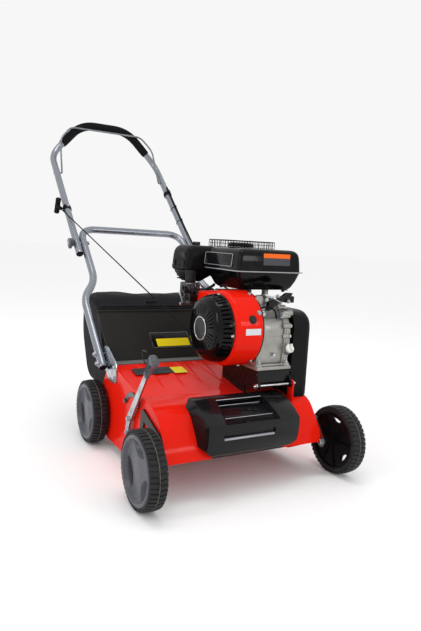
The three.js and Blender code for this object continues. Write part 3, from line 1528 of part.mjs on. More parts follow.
// Grey star knob with its clamp bolt through both tubes
function handleKnob(side) {
  const joint = alongHandle(0, jointReach);
  const face = upperHalf + tubeRadius + gap;
  const far = face + knobDepth;
  const near = face + knobDepth * 0.4;
  const bar = (spot, radius, from, to, sides) => (
    barX(spot.x, spot.y, radius, Math.min(side * from, side * to), Math.max(side * from, side * to), sides));
  const centre = flat(joint.y, joint.z);
  const head = bar(centre, knobRadius * 0.62, face, far);
  const lobes = [0, 1, 2].map((i) => {
    const angle = radians(30 + i * 120);
    const reach = knobRadius * 0.68;
    const spot = flat(joint.y + reach * Math.cos(angle), joint.z + reach * Math.sin(angle));
    return bar(spot, knobRadius * 0.34, near, far, 6);
  });
  const boltEnd = lowerTopHalf - tubeRadius - jointBoltRadius * 1.5;
  const bolt = bar(centre, jointBoltRadius, boltEnd, far - jointBoltRadius / 2);
  const nut = bar(centre, jointBoltRadius * 1.9, boltEnd, lowerTopHalf - tubeRadius - gap, fastenerSides);
  return join(head, ...lobes, bolt, nut);
}

// The straight line of the starter rope, from the housing to the guide on the left tube
function ropeLine() {
  const guide = alongHandle(-(upperHalf + tubeRadius + ropeRadius * 6), guideReach);
  const outlet = at(
    shroudFrontX - starterDepth * 0.55,
    crankAxisY + starterRadius * 0.9,
    crankAxisZ - starterRadius * 0.1,
  );
  const run = guide.clone().sub(outlet).normalize();
  return { guide, outlet, run };
}

// Guide eye on the left tube that the rope runs through
function ropeGuide() {
  const { guide, run } = ropeLine();
  const along = (reach) => guide.clone().addScaledVector(run, reach);
  const eye = rod(along(-guideHalf), along(guideHalf), ropeRadius * 3.5);
  const stem = rod(guide, alongHandle(-upperHalf, guideReach), ropeRadius * 1.6, fastenerSides);
  const band = (half, radius) => rod(
    alongHandle(-upperHalf, guideReach - half),
    alongHandle(-upperHalf, guideReach + half),
    radius,
  );
  const clampBand = band(clampHalf, tubeRadius + clampWall);
  const tubeHole = band(clampHalf * 3, tubeRadius + 1.5 * gap);
  const ropeHole = rod(along(-guideHalf * 5), along(guideHalf * 5), ropeRadius + gap);
  return cut(join(eye, stem, clampBand), tubeHole, ropeHole);
}

// T grip on the end of the rope, parked against the guide
function starterGrip() {
  const { guide, run } = ropeLine();
  const seat = guide.clone().addScaledVector(run, guideHalf + gap);
  const middle = seat.clone().addScaledVector(run, starterGripRadius * 1.9);
  const across = new THREE.Vector3().crossVectors(run, at(1, 0, 0)).normalize();
  const half = starterGripLength / 2;
  const bar = rod(
    middle.clone().addScaledVector(across, -half),
    middle.clone().addScaledVector(across, half),
    starterGripRadius,
  );
  const neck = rod(seat, middle, starterGripRadius * 0.7);
  return join(bar, neck);
}

// Starter rope, straight from the housing to the guide
function starterRope() {
  const { guide, outlet, run } = ropeLine();
  const start = outlet.clone().addScaledVector(run, ropeBoss + gap);
  const end = guide.clone().addScaledVector(run, guideHalf);
  return rod(start, end, ropeRadius, 6);
}

// A point on the upper side of the right tube, where the cable lies
function onTube(reach) {
  const away = tubeRadius + cableRadius + 3 * gap;
  const spot = alongHandle(upperHalf, reach);
  return at(spot.x, spot.y - slope.y * away, spot.z + slope.x * away);
}

// Clutch cable down the right tube and on into the back of the belt cover
function clutchCable() {
  const x = (bulkheadX + coverRightX) / 2;
  const entryZ = coverTopZ - coverRound * 1.55;
  const sag = alongHandle(x + clipHalf, cableSagReach);
  sag.z += cableSagRise;
  const corners = [
    onTube(clipReach + clipHalf * 4), onTube(jointReach + 70), sag,
    at(x, coverRearY + 146, coverTopZ + 8), at(x, coverRearY + 70, entryZ + 12),
    at(x, coverRearY + 25, entryZ), at(x, coverRearY + gap, entryZ),
  ];
  return piping(bentPath(corners, [90, 90, 60, 50, 20], 2), cableRadius, 6);
}

// Clip that holds the cable to the right tube
function cableClip() {
  const ends = [clipReach - clipHalf, clipReach + clipHalf];
  const past = [clipReach - clipHalf - overrun, clipReach + clipHalf + overrun];
  const along = (reaches, spot, radius) => rod(spot(reaches[0]), spot(reaches[1]), radius);
  const tubeSpot = (reach) => alongHandle(upperHalf, reach);
  return cut(
    join(along(ends, tubeSpot, tubeRadius + cableRadius), along(ends, onTube, cableRadius + clampWall)),
    along(past, tubeSpot, tubeRadius + 1.5 * gap),
    along(past, onTube, boreRound(cableRadius)),
  );
}

// Rod that the rear flap hinges on
function flapHingeRod() {
  const reach = deckHalf + bracketPlate - gap;
  return barX(hingeRodY, hingeRodZ, hingeRodRadius, -reach, reach);
}

// Rear flap: barrel round the rod, sloping panel with edge ribs
function rearFlap() {
  const run = flat(flapTipY - hingeRodY, flapTipZ - hingeRodZ).normalize();
  const side = flat(run.y, -run.x);
  const barrel = hingeRodRadius + gap + flapWall;
  const point = (along, out) => flat(
    hingeRodY + run.x * along + side.x * out,
    hingeRodZ + run.y * along + side.y * out,
  );
  const full = Math.hypot(flapTipY - hingeRodY, flapTipZ - hingeRodZ);
  const half = flapThickness / 2;
  const lipEnd = full + flapRib;
  const lipOut = -half - flapThickness;
  const panel = sidePlate([
    point(0, -half), point(full * 0.97, -half), point(full, lipOut), point(lipEnd, lipOut),
    point(lipEnd, -half), point(full, half), point(0, half),
  ], -flapHalf, flapHalf);
  const rim = (x) => sidePlate([
    point(barrel * 1.6, 0), point(full, 0), point(full, flapRim), point(barrel * 2, flapRim * 0.7),
  ], x, x + flapRib);
  const tube = barX(hingeRodY, hingeRodZ, barrel, -flapHalf, flapHalf);
  const ribDeep = flapRim * 0.75;
  const ribs = [-0.5, 0, 0.5].map((share) => sidePlate([
    point(barrel, 0), point(full * 0.9, 0), point(full * 0.86, ribDeep), point(barrel * 2, ribDeep),
  ], share * flapHalf - flapRib / 2, share * flapHalf + flapRib / 2));
  const bore = barX(hingeRodY, hingeRodZ, boreRound(hingeRodRadius), -deckHalf, deckHalf);
  return cut(join(panel, rim(-flapHalf), rim(flapHalf - flapRib), tube, ...ribs), bore);
}

// Side outline of the grass bag, from the low front corner round the back to the high one
function bagOutline(inset) {
  const round = bagRound;
  const slack = bagSlack;
  const corners = [
    flat(bagLowY + inset, bagLowZ + inset * 0.4), flat(bagLowY + round * 1.15, bagBottomZ + inset),
    flat(bagBackY - round * 1.95, bagBottomZ + slack + inset),
    flat(bagBackY - slack - inset, (bagBottomZ + bagTopZ) / 2),
    flat(bagBackY - slack * 1.5 - inset, bagTopZ - slack * 0.75 - inset),
    flat(bagHighY + round, bagTopZ - inset), flat(bagHighY + inset * 0.4, bagHighZ - inset),
  ];
  return softened(corners, [0, round / 2, round, round * 0.75, round * 0.75, round / 2, 0], 2);
}

// The line of the bag's mouth in the side view, with its run and the way out of the bag
function bagMouth() {
  const low = flat(bagLowY, bagLowZ);
  const high = flat(bagHighY, bagHighZ);
  const back = high.clone().sub(low).normalize();
  return { low, high, back, out: flat(-back.y, back.x) };
}

// Cloth of the bag: one open shell, its mouth against the wire frame
function bagCloth() {
  const section = (inset) => {
    const half = bagHalf - inset;
    const corners = rectangle(-half, half, bagBottomZ - overrun, bagTopZ - inset);
    const outline = softened(corners, [0, 0, bagShoulder, bagShoulder], 2);
    return frontPlate(outline, bagLowY - overrun, bagBackY + overrun);
  };
  const shell = sidePlate(bagOutline(0), -bagHalf, bagHalf).intersect(section(0));
  const hollow = sidePlate(bagOutline(bagWall), -bagHalf, bagHalf).intersect(section(bagWall));
  const { low, high, back, out } = bagMouth();
  const edge = (spot, along, away) => spot.clone().addScaledVector(back, along).addScaledVector(out, away);
  const mouth = sidePlate([
    edge(low, bagWall, -overrun * 2), edge(high, -bagWall, -overrun * 2),
    edge(high, -bagWall, overrun * 4), edge(low, bagWall, overrun * 4),
  ], -bagHalf + bagWall, bagHalf - bagWall);
  return cut(shell, hollow, mouth);
}

// Wire frame round the bag's mouth, with its carry handle
function bagFrame() {
  const { low: lowEdge, high: highEdge, back, out } = bagMouth();
  const away = bagFrameRadius * 1.3 + gap * 2;
  const low = lowEdge.addScaledVector(out, away).addScaledVector(back, bagFrameRadius);
  const high = highEdge.addScaledVector(out, away).addScaledVector(back, -bagFrameRadius);
  const half = bagHalf - bagFrameRadius;
  const corner = (x, p) => at(x, p.x, p.y);
  const middle = corner(0, low);
  const hoop = piping(bentPath([
    middle, corner(half, low), corner(half, high), corner(-half, high), corner(-half, low),
    corner(-gap * 2, low),
  ], bagFrameRadius * 3, 2), bagFrameRadius, 6);
  const grip = (share, rise) => at(
    bagHandleX + bagHandleHalf * share, high.x + bagFrameRadius * 0.75 * rise, high.y + bagHandleRise * rise);
  const loop = piping(bentPath([
    grip(-1, 0), grip(-0.76, 1), grip(0.76, 1), grip(1, 0),
  ], bagFrameRadius * 2, 1), bagFrameRadius * 0.7, 6);
  const weld = rod(corner(-bagFrameRadius * 2, low), corner(bagFrameRadius * 2, low), bagFrameRadius * 1.3);
  return join(hoop, loop, weld, bagEar(-1), bagEar(1));
}

// Ear on the side of the bag's frame, whose slot slides forwards onto the hinge rod
function bagEar(side) {
  const { low, back, out } = bagMouth();
  const foot = low.addScaledVector(out, bagFrameRadius * 1.3 + gap * 2).addScaledVector(back, earFoot);
  const far = deckHalf - sheet - gap * 2;
  const near = far - earPlate;
  const rodHead = bagFrameRadius * 2.4;
  const x0 = Math.min(side * near, side * far);
  const plate = strap(foot, flat(hingeRodY, hingeRodZ), bagFrameRadius * 1.6, rodHead, x0, x0 + earPlate);
  const slotHalf = hingeRodRadius + gap;
  const slot = block(
    x0 - overrun, x0 + earPlate + overrun,
    hingeRodY - rodHead - overrun, hingeRodY + slotHalf, hingeRodZ - slotHalf, hingeRodZ + slotHalf,
  );
  const reach = [side * (bagHalf - bagFrameRadius), side * (far - gap)];
  const pinEnds = [Math.min(...reach), Math.max(...reach)];
  const pin = barX(foot.x, foot.y, bagFrameRadius * 0.8, ...pinEnds, fastenerSides);
  return join(cut(plate, slot), pin);
}

// Moulded front cover on the deck's nose, with its carry slot and centre panel
function frontCover() {
  const noseShares = [
    [-0.01, 0.06], [-0.08, 0.12], [-0.17, 0.5], [-0.13, 0.72], [-0.02, 0.8],
    [0.45, 0.98], [0.8, 1.03], [1, 1.01],
  ];
  const length = coverLength;
  const rise = deckHeight(length) - lipHeight;
  const outer = scaled(noseShares, 0, length, lipHeight, rise);
  const under = deckProfile(gap).filter((p) => p.x < length);
  const shape = [...outer, ...[...under].reverse()];
  const body = sidePlate(shape, -coverHalf, coverHalf);
  const face = frontPlate([
    flat(-coverHalf * 0.72, lipHeight), flat(coverHalf * 0.66, lipHeight),
    flat(coverHalf * 0.86, lipHeight + rise * 0.16), flat(coverHalf, lipHeight + rise * 0.62),
    flat(coverHalf * 0.98, lipHeight + rise * 0.8), flat(coverHalf * 0.8, lipHeight + rise * 1.2),
    flat(-coverHalf * 0.8, lipHeight + rise * 1.2), flat(-coverHalf * 0.98, lipHeight + rise * 0.8),
    flat(-coverHalf, lipHeight + rise * 0.62), flat(-coverHalf * 0.86, lipHeight + rise * 0.16),
  ], -deckLength / 4, length + overrun);
  const shrunk = scaled(noseShares.map(([s, t]) => [s + 0.04, t - 0.04]), 0, length, lipHeight, rise);
  const inside = [...shrunk.slice(1, -1), ...[...under].reverse().slice(1, -1)];
  const hollow = sidePlate(inside, -coverHalf * 0.8, coverHalf * 0.8);
  const slotHalf = coverHalf * 0.5;
  const slotLow = lipHeight + rise * 0.66;
  const slot = block(-slotHalf, slotHalf, -deckLength / 4, length * 0.2, slotLow, slotLow + rise * 0.17);
  const panelLow = lipHeight + rise * 0.36;
  const panel = block(-slotHalf * 1.1, slotHalf * 1.1, -deckLength / 4, -length * 0.135, panelLow, slotLow);
  return cut(body.intersect(face), slot, panel, hollow.intersect(slot));
}

// Builds every piece under its own name
place('deck', deck(), 'red');
place('front_cover', frontCover(), 'black');
place('engine_stand', engineStand(), 'blackSteel');
place('tie_rod', tieRod(), 'zinc');
place('front_axle_frame', frontAxleFrame(), 'zinc');
place('depth_lever', depthLever(), 'zinc');
place('lever_grip', leverGrip(), 'grey');
place('lever_link', leverLink(), 'zinc');
place('lever_quadrant', leverQuadrant(), 'zinc');
place('rear_axle', rearAxle(), 'zinc');
for (const [name, innerX, side, y] of [
  ['front_left', frontWheelInner, -1, 0], ['front_right', frontWheelInner, 1, 0],
  ['rear_left', rearWheelInner, -1, wheelbase], ['rear_right', rearWheelInner, 1, wheelbase],
]) {
  place(`${name}_hub`, hub(innerX, side, y), 'grey');
  place(`${name}_tyre`, tyre(innerX, side, y), 'rubber');
}
place('rotor', rotor(), 'zinc');
place('left_rotor_bearing', rotorBearing(-deckHalf + sheet + gap), 'cast');
place('right_rotor_bearing', rotorBearing(bulkheadX - bearingLength - gap), 'cast');
place('rotor_pulley', pulley(rotorPulleyRadius, rotorY, rotorZ, boreRound(rotorShaftRadius)), 'zinc');
place('engine_pulley', pulley(enginePulleyRadius, crankAxisY, crankAxisZ, boreRound(crankRadius)), 'zinc');
place('drive_belt', driveBelt(), 'rubber');
place('idler_arm', idlerArm(), 'zinc');
place('idler_pulley', idlerPulley(), 'black');
place('belt_backplate', beltBackplate(), 'blackSteel');
place('belt_cover', beltCover(), 'black');
place('crankcase', crankcase(), 'cast');
place('cylinder_head', cylinderHead(), 'cast');
place('crankshaft', crankshaft(), 'zinc');
place('cooling_fan', coolingFan(), 'black');
place('fan_shroud', fanShroud(), 'red');
place('starter_housing', starterHousing(), 'blackGloss');
place('fuel_tank', fuelTank(), 'blackGloss');
place('fuel_cap', fuelCap(), 'black');
place('air_cleaner', airCleaner(), 'black');
place('carburettor', carburettor(), 'cast');
place('choke_lever', chokeLever(), 'blackSteel');
place('throttle_lever', throttleLever(), 'zinc');
place('silencer', silencer(), 'blackSteel');
place('silencer_guard', silencerGuard(), 'blackSteel');
place('dipstick', dipstick(), 'zinc');
place('left_handle_bracket', handleBracket(-1), 'zinc');
place('right_handle_bracket', handleBracket(1), 'zinc');
place('lower_handle', lowerHandle(), 'tube');
place('upper_handle', upperHandle(), 'tube');
place('foam_grip', foamGrip(), 'foam');
place('bail', bail(), 'zinc');
place('left_handle_knob', handleKnob(-1), 'grey');
place('right_handle_knob', handleKnob(1), 'grey');
place('rope_guide', ropeGuide(), 'black');
place('starter_grip', starterGrip(), 'black');
place('starter_rope', starterRope(), 'black');
place('clutch_cable', clutchCable(), 'black');
place('cable_clip', cableClip(), 'black');
place('flap_hinge_rod', flapHingeRod(), 'zinc');
place('rear_flap', rearFlap(), 'black');
place('bag_frame', bagFrame(), 'blackSteel');
place('bag_cloth', bagCloth(), 'cloth');

// The origin goes to the bottom centre of the whole machine
const bounds = new THREE.Box3().setFromObject(part);
const centre = bounds.getCenter(new THREE.Vector3());
part.position.set(-centre.x, -centre.y, -bounds.min.z);

export default part;
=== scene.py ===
# Petrol lawn aerator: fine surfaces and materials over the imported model.
# Shapes are drawn in millimetres about the front axle line and moved into the model's frame once.

import bpy
import bmesh
import json
import math
from mathutils import Matrix, Vector, noise

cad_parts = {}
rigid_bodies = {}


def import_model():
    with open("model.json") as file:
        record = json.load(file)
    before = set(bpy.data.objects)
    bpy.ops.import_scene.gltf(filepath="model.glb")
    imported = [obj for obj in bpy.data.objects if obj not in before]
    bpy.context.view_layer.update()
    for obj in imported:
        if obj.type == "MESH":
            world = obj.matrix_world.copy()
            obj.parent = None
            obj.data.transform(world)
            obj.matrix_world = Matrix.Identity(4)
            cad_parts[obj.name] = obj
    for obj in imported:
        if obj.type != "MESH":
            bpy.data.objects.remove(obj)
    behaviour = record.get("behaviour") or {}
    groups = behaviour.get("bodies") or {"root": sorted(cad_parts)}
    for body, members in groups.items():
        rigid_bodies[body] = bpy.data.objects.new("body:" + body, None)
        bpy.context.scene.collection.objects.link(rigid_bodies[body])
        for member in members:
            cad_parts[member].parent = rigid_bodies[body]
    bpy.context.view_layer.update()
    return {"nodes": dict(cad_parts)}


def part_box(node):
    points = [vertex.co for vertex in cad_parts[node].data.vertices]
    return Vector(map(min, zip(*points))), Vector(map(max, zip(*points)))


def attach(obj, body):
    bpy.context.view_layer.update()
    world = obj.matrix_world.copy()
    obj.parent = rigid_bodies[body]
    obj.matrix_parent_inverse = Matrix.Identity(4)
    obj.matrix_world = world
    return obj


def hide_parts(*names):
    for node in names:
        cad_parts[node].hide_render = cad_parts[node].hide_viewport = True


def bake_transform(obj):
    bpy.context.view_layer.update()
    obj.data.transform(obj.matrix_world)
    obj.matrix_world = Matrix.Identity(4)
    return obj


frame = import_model()

MM = 0.001
SAME_SPOT = 0.0005
front_axle_y = sum(corner[1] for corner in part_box("front_left_tyre")) / 2
TO_FRAME = Matrix.Translation((0, front_axle_y, 0)) @ Matrix.Scale(MM, 4)

# Sizes shared with the solids, in mm, as (y, z) where a pair is a spot in the side view

DECK_HALF = 235
DECK_FRONT = [(0, 95), (13, 130), (34, 161), (60, 192), (93, 207), (131, 213), (168, 216.3)]
SLOPE_FOOT = DECK_FRONT[-1]
SLOPE_HEAD = (385, 256)
DECK_TOP = DECK_FRONT + [SLOPE_HEAD, (400, 260)]
WHEEL_RADIUS = 95
FRONT_WHEEL_INNER = 267
REAR_WHEEL_INNER = 239
REAR_AXLE_Y = 475
CRANK = (160, 394)
FLAP_HINGE = (410, 252)
FLAP_TIP = (552, 388)
FLAP_HALF = 229
BAG_MOUTH_LOW = (446, 196)
BAG_MOUTH_HIGH = (577, 402)
BAG_HALF = 219.5
LEVER_PIVOT = (214, 147)
LEVER_TOP = (100, 303)

# The belt cover's box on the right, which the clutch cable enters from behind
BELT_COVER_FRONT = 80
BELT_COVER_REAR = 301
BELT_COVER_TOP = 447

# The handle, with reaches measured along the tubes from their foot
HANDLE_FOOT = (421, 240)
HANDLE_ANGLE = math.radians(42)
TUBE_RADIUS = 12.5
LOWER_HALF = 251.1
LOWER_TOP_HALF = 199
UPPER_HALF = 224.6
UPPER_FOOT_REACH = 476
FOLD_REACH = 532
GUIDE_REACH = 712
CLIP_REACH = 844
BAIL_REACH = 925
CABLE_REACHES = (602, 882)

# The recoil starter's housing and its rope
HOUSING_RADIUS = 93
HOUSING_DEPTH = 53
ROPE_RADIUS = 2


# Geometry helpers

def at(x, y, z):
    return Vector((x, y, z))


def along_handle(x, reach):
    foot_y, foot_z = HANDLE_FOOT
    return at(x, foot_y + reach * math.cos(HANDLE_ANGLE), foot_z + reach * math.sin(HANDLE_ANGLE))


# The way along the handle's tubes and the way square to them, upwards
HANDLE_RUN = at(0, math.cos(HANDLE_ANGLE), math.sin(HANDLE_ANGLE))
HANDLE_UP = at(0, -math.sin(HANDLE_ANGLE), math.cos(HANDLE_ANGLE))


def rounded_path(corners, bend, steps=8):
    """A path through corners, each rounded by an arc-like curve."""
    bends = bend if isinstance(bend, (list, tuple)) else [bend] * (len(corners) - 2)
    path = [corners[0].copy()]
    for i in range(1, len(corners) - 1):
        corner, before, after = corners[i], corners[i - 1], corners[i + 1]
        reach = min(bends[i - 1], (corner - before).length / 2.05, (corner - after).length / 2.05)
        start = corner + (before - corner).normalized() * reach
        end = corner + (after - corner).normalized() * reach
        for k in range(steps + 1):
            t = k / steps
            path.append(start * (1 - t) ** 2 + corner * 2 * t * (1 - t) + end * t ** 2)
    path.append(corners[-1].copy())
    return path


def resample(path, step):
    """The same path with no run longer than a step."""
    result = [path[0]]
    for a, b in zip(path, path[1:]):
        count = max(1, math.ceil((b - a).length / step))
        result += [a.lerp(b, (k + 1) / count) for k in range(count)]
    return result


def sweep(bm, path, radius, sides=24, closed=False, squash=1.0):
    """A round bar along a path, with its ends closed unless the path is a loop."""
    count = len(path)
    tangents = []
    for i in range(count):
        before = path[i - 1] if closed or i > 0 else path[i]
        after = path[(i + 1) % count] if closed or i < count - 1 else path[i]
        tangents.append((after - before).normalized())
    normal = tangents[0].orthogonal().normalized()
    rings = []
    for i in range(count):
        if i > 0:
            normal = tangents[i - 1].rotation_difference(tangents[i]) @ normal
        normal = (normal - tangents[i] * normal.dot(tangents[i])).normalized()
        across = tangents[i].cross(normal)
        size = radius[i] if isinstance(radius, (list, tuple)) else radius
        rings.append([
            path[i] + size * (math.cos(a) * normal + squash * math.sin(a) * across)
            for a in (2 * math.pi * k / sides for k in range(sides))
        ])
    tube_faces(bm, rings, closed)


def tube_faces(bm, rings, closed):
    """The faces of a swept bar, with its ends closed unless it is a loop."""
    made = [[bm.verts.new(p) for p in ring] for ring in rings]
    count = len(made[0])
    pairs = list(zip(made, made[1:]))
    if closed:
        pairs.append((made[-1], made[0]))
    for low, high in pairs:
        for i in range(count):
            j = (i + 1) % count
            bm.faces.new((low[i], low[j], high[j], high[i]))
    if not closed:
        bm.faces.new(list(reversed(made[0])))
        bm.faces.new(made[-1])


def new_ring(bm, places):
    """Puts the points of the circle that was just added in their places, in order round it."""
    first = next(vert for vert in bm.verts if vert.select)
    ring = [first]
    edge = first.link_edges[0]
    while edge.other_vert(ring[-1]) != first:
        ring.append(edge.other_vert(ring[-1]))
        edge = next(other for other in ring[-1].link_edges if other != edge)
    for vert, place in zip(ring, places):
        vert.co = place
    return ring


def loft(bm, rings):
    """A shape through rings of points: the first is filled and extruded to each of the others."""
    bpy.ops.mesh.primitive_circle_add(vertices=len(rings[0]), fill_type="NGON", calc_uvs=False)
    last = new_ring(bm, rings[0])
    for places in rings[1:]:
        bpy.ops.mesh.extrude_region_move()
        last = [next(edge.other_vert(vert) for edge in vert.link_edges if edge.other_vert(vert).select)
                for vert in last]
        for vert, place in zip(last, places):
            vert.co = place


def turn(bm, pairs, origin, axis, steps=64):
    """A shape spun about an axis from pairs of place along it and radius."""
    axis = Vector(axis).normalized()
    out = axis.orthogonal().normalized()
    places = [origin + axis * along + out * radius for along, radius in pairs]
    is_loop = pairs[0] == pairs[-1]
    if is_loop:
        places.pop()
    bpy.ops.mesh.primitive_circle_add(vertices=max(3, len(places)), calc_uvs=False)
    ring = new_ring(bm, places)
    for spare in ring[len(places):]:
        bm.verts.remove(spare)
    closing = bm.edges.get((ring[len(places) - 1], ring[0]))
    if closing and not is_loop and len(places) > 2:
        bm.edges.remove(closing)
    bpy.ops.mesh.spin(steps=steps, angle=2 * math.pi, center=origin, axis=axis, use_auto_merge=True)
    bpy.ops.mesh.select_linked()
    bpy.ops.mesh.remove_doubles(threshold=SAME_SPOT)


def move_new(bm, matrix):
    """Moves what is selected, which is what was added last."""
    bmesh.ops.transform(bm, matrix=matrix, verts=[vert for vert in bm.verts if vert.select])


def turn_x(bm, pairs, y, z, steps=64):
    turn(bm, pairs, at(0, y, z), (1, 0, 0), steps)


def prism(bm, outline, low, high, plane="x"):
    """An outline in the side (x), front (y) or plan (z) view, filled and extruded."""
    place = {
        "x": lambda a, b, d: at(d, a, b),
        "y": lambda a, b, d: at(a, d, b),
        "z": lambda a, b, d: at(a, b, d),
    }[plane]
    bpy.ops.mesh.primitive_circle_add(vertices=len(outline), fill_type="NGON", calc_uvs=False)
    new_ring(bm, [place(a, b, low) for a, b in outline])
    bm.normal_update()
    bpy.ops.mesh.extrude_region_move(TRANSFORM_OT_translate={"value": place(0, 0, high - low)})


def arc(a, b, radius, steps, start=0, end=360):
    full = abs(end - start) == 360
    count = steps if full else steps + 1
    return [
        (a + radius * math.cos(math.radians(start + (end - start) * i / steps)),
         b + radius * math.sin(math.radians(start + (end - start) * i / steps)))
        for i in range(count)
    ]


def softened(points, radius, steps=5):
    """An outline with its corners rounded."""
    result = []
    for i, corner in enumerate(points):
        size = radius[i] if isinstance(radius, (list, tuple)) else radius
        corner = Vector(corner)
        before = Vector(points[i - 1])
        after = Vector(points[(i + 1) % len(points)])
        reach = min(size, (corner - before).length / 2.01, (corner - after).length / 2.01)
        if reach <= 0:
            result.append(tuple(corner))
            continue
        start = corner + (before - corner).normalized() * reach
        end = corner + (after - corner).normalized() * reach
        for k in range(steps + 1):
            t = k / steps
            result.append(tuple(start * (1 - t) ** 2 + corner * 2 * t * (1 - t) + end * t ** 2))
    return result


def rectangle(a0, a1, b0, b1):
    return [(a0, b0), (a1, b0), (a1, b1), (a0, b1)]


def levels(bm, plan, steps):
    """A shape with one plan, drawn in towards its middle by an amount at each height."""
    wide = [a for a, b in plan]
    deep = [b for a, b in plan]
    middle = Vector((max(wide) + min(wide), max(deep) + min(deep))) / 2
    size = Vector((max(wide) - min(wide), max(deep) - min(deep))) / 2
    loft(bm, [[at(middle.x + (a - middle.x) * (size.x - drawn) / size.x,
                  middle.y + (b - middle.y) * (size.y - drawn) / size.y, height) for a, b in plan]
              for height, drawn in steps])


def inset(outline, amount):
    """An outline moved inwards by an amount, each point square to its neighbours."""
    count = len(outline)
    area = sum(outline[i][0] * outline[(i + 1) % count][1] - outline[(i + 1) % count][0] * outline[i][1]
               for i in range(count))
    sign = 1 if area > 0 else -1
    result = []
    for i in range(count):
        before = Vector(outline[i - 1])
        here = Vector(outline[i])
        after = Vector(outline[(i + 1) % count])
        run = (after - before).normalized()
        result.append((here.x - sign * run.y * amount, here.y + sign * run.x * amount))
    return result


def box(x0, x1, y0, y1, z0, z1, bevel=0.0, segments=3):
    """A block between two corners with rounded edges."""
    centre = ((x0 + x1) / 2, (y0 + y1) / 2, (z0 + z1) / 2)
    extent = (x1 - x0, y1 - y0, z1 - z0)
    bpy.ops.mesh.primitive_cube_add(size=1, calc_uvs=False, location=centre, scale=extent)
    if bevel > 0:
        bpy.ops.mesh.bevel(offset=bevel, segments=segments, affect="EDGES")


def hexagon(bm, origin, axis, radius, height, washer=0.0):
    """A hexagon head with a chamfer, on a washer if it has one."""
    axis = Vector(axis).normalized()
    base = origin.copy()
    if washer > 0:
        turn(bm, [(0, 0), (0, washer), (1.2, washer), (1.2, 0)], base, axis, 28)
        base = base + axis * 1.2
    turn(bm, [(0, 0), (0, radius), (height * 0.82, radius), (height, radius * 0.86), (height, 0)],
         base, axis, 6)


def take(thing):
    """Makes one object the selected and active one."""
    bpy.ops.object.select_all(action="DESELECT")
    thing.select_set(True)
    bpy.context.view_layer.objects.active = thing


def new_mesh(name, build):
    """A new object that its build steps model in edit mode, moved into the model's frame."""
    thing = bpy.data.objects.new(name, bpy.data.meshes.new(name))
    bpy.context.scene.collection.objects.link(thing)
    take(thing)
    bpy.ops.object.mode_set(mode="EDIT")
    bm = bmesh.from_edit_mesh(thing.data)
    build(bm)
    bm.normal_update()
    bpy.ops.mesh.select_all(action="SELECT")
    bpy.ops.mesh.normals_make_consistent(inside=False)
    bpy.ops.object.mode_set(mode="OBJECT")
    thing.data.transform(TO_FRAME)
    return thing


def bake(thing):
    """Applies all modifiers of a piece."""
    take(thing)
    for modifier in list(thing.modifiers):
        bpy.ops.object.modifier_apply(modifier=modifier.name)


def soften_edges(thing, width, segments=2, angle=30):
    bevel = thing.modifiers.new("edges", "BEVEL")
    bevel.width = width * MM
    bevel.segments = segments
    bevel.limit_method = "ANGLE"
    bevel.angle_limit = math.radians(angle)
    bevel.use_clamp_overlap = True


def carve(thing, build, operation="DIFFERENCE"):
    """Cuts a tool shape out of a piece, or joins one to it."""
    tool = new_mesh("tool", build)
    cut = thing.modifiers.new("cut", "BOOLEAN")
    cut.object = tool
    cut.operation = operation
    cut.solver = "EXACT"
    bake(thing)
    mesh = tool.data
    bpy.data.objects.remove(tool)
    bpy.data.meshes.remove(mesh)


def shade(thing, angle=35):
    for face in thing.data.polygons:
        face.use_smooth = True
    thing.data.set_sharp_from_angle(angle=math.radians(angle))


def piece(name, build, finish, body, replaces=(), edge=0.0, segments=2, angle=35, cuts=(), subdivide=0):
    """Makes a piece, gives it its material and fixes it to its body, if it is given one."""
    thing = new_mesh(name, build)
    for cut in cuts:
        carve(thing, cut)
    if edge > 0:
        soften_edges(thing, edge, segments)
    if subdivide > 0:
        level = thing.modifiers.new("levels", "SUBSURF")
        level.levels = subdivide
        level.render_levels = subdivide
    if thing.modifiers:
        bake(thing)
    thing.data.materials.clear()
    thing.data.materials.append(finish)
    shade(thing, angle)
    if body:
        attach(thing, body)
    if replaces:
        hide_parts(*replaces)
    return thing


# Materials

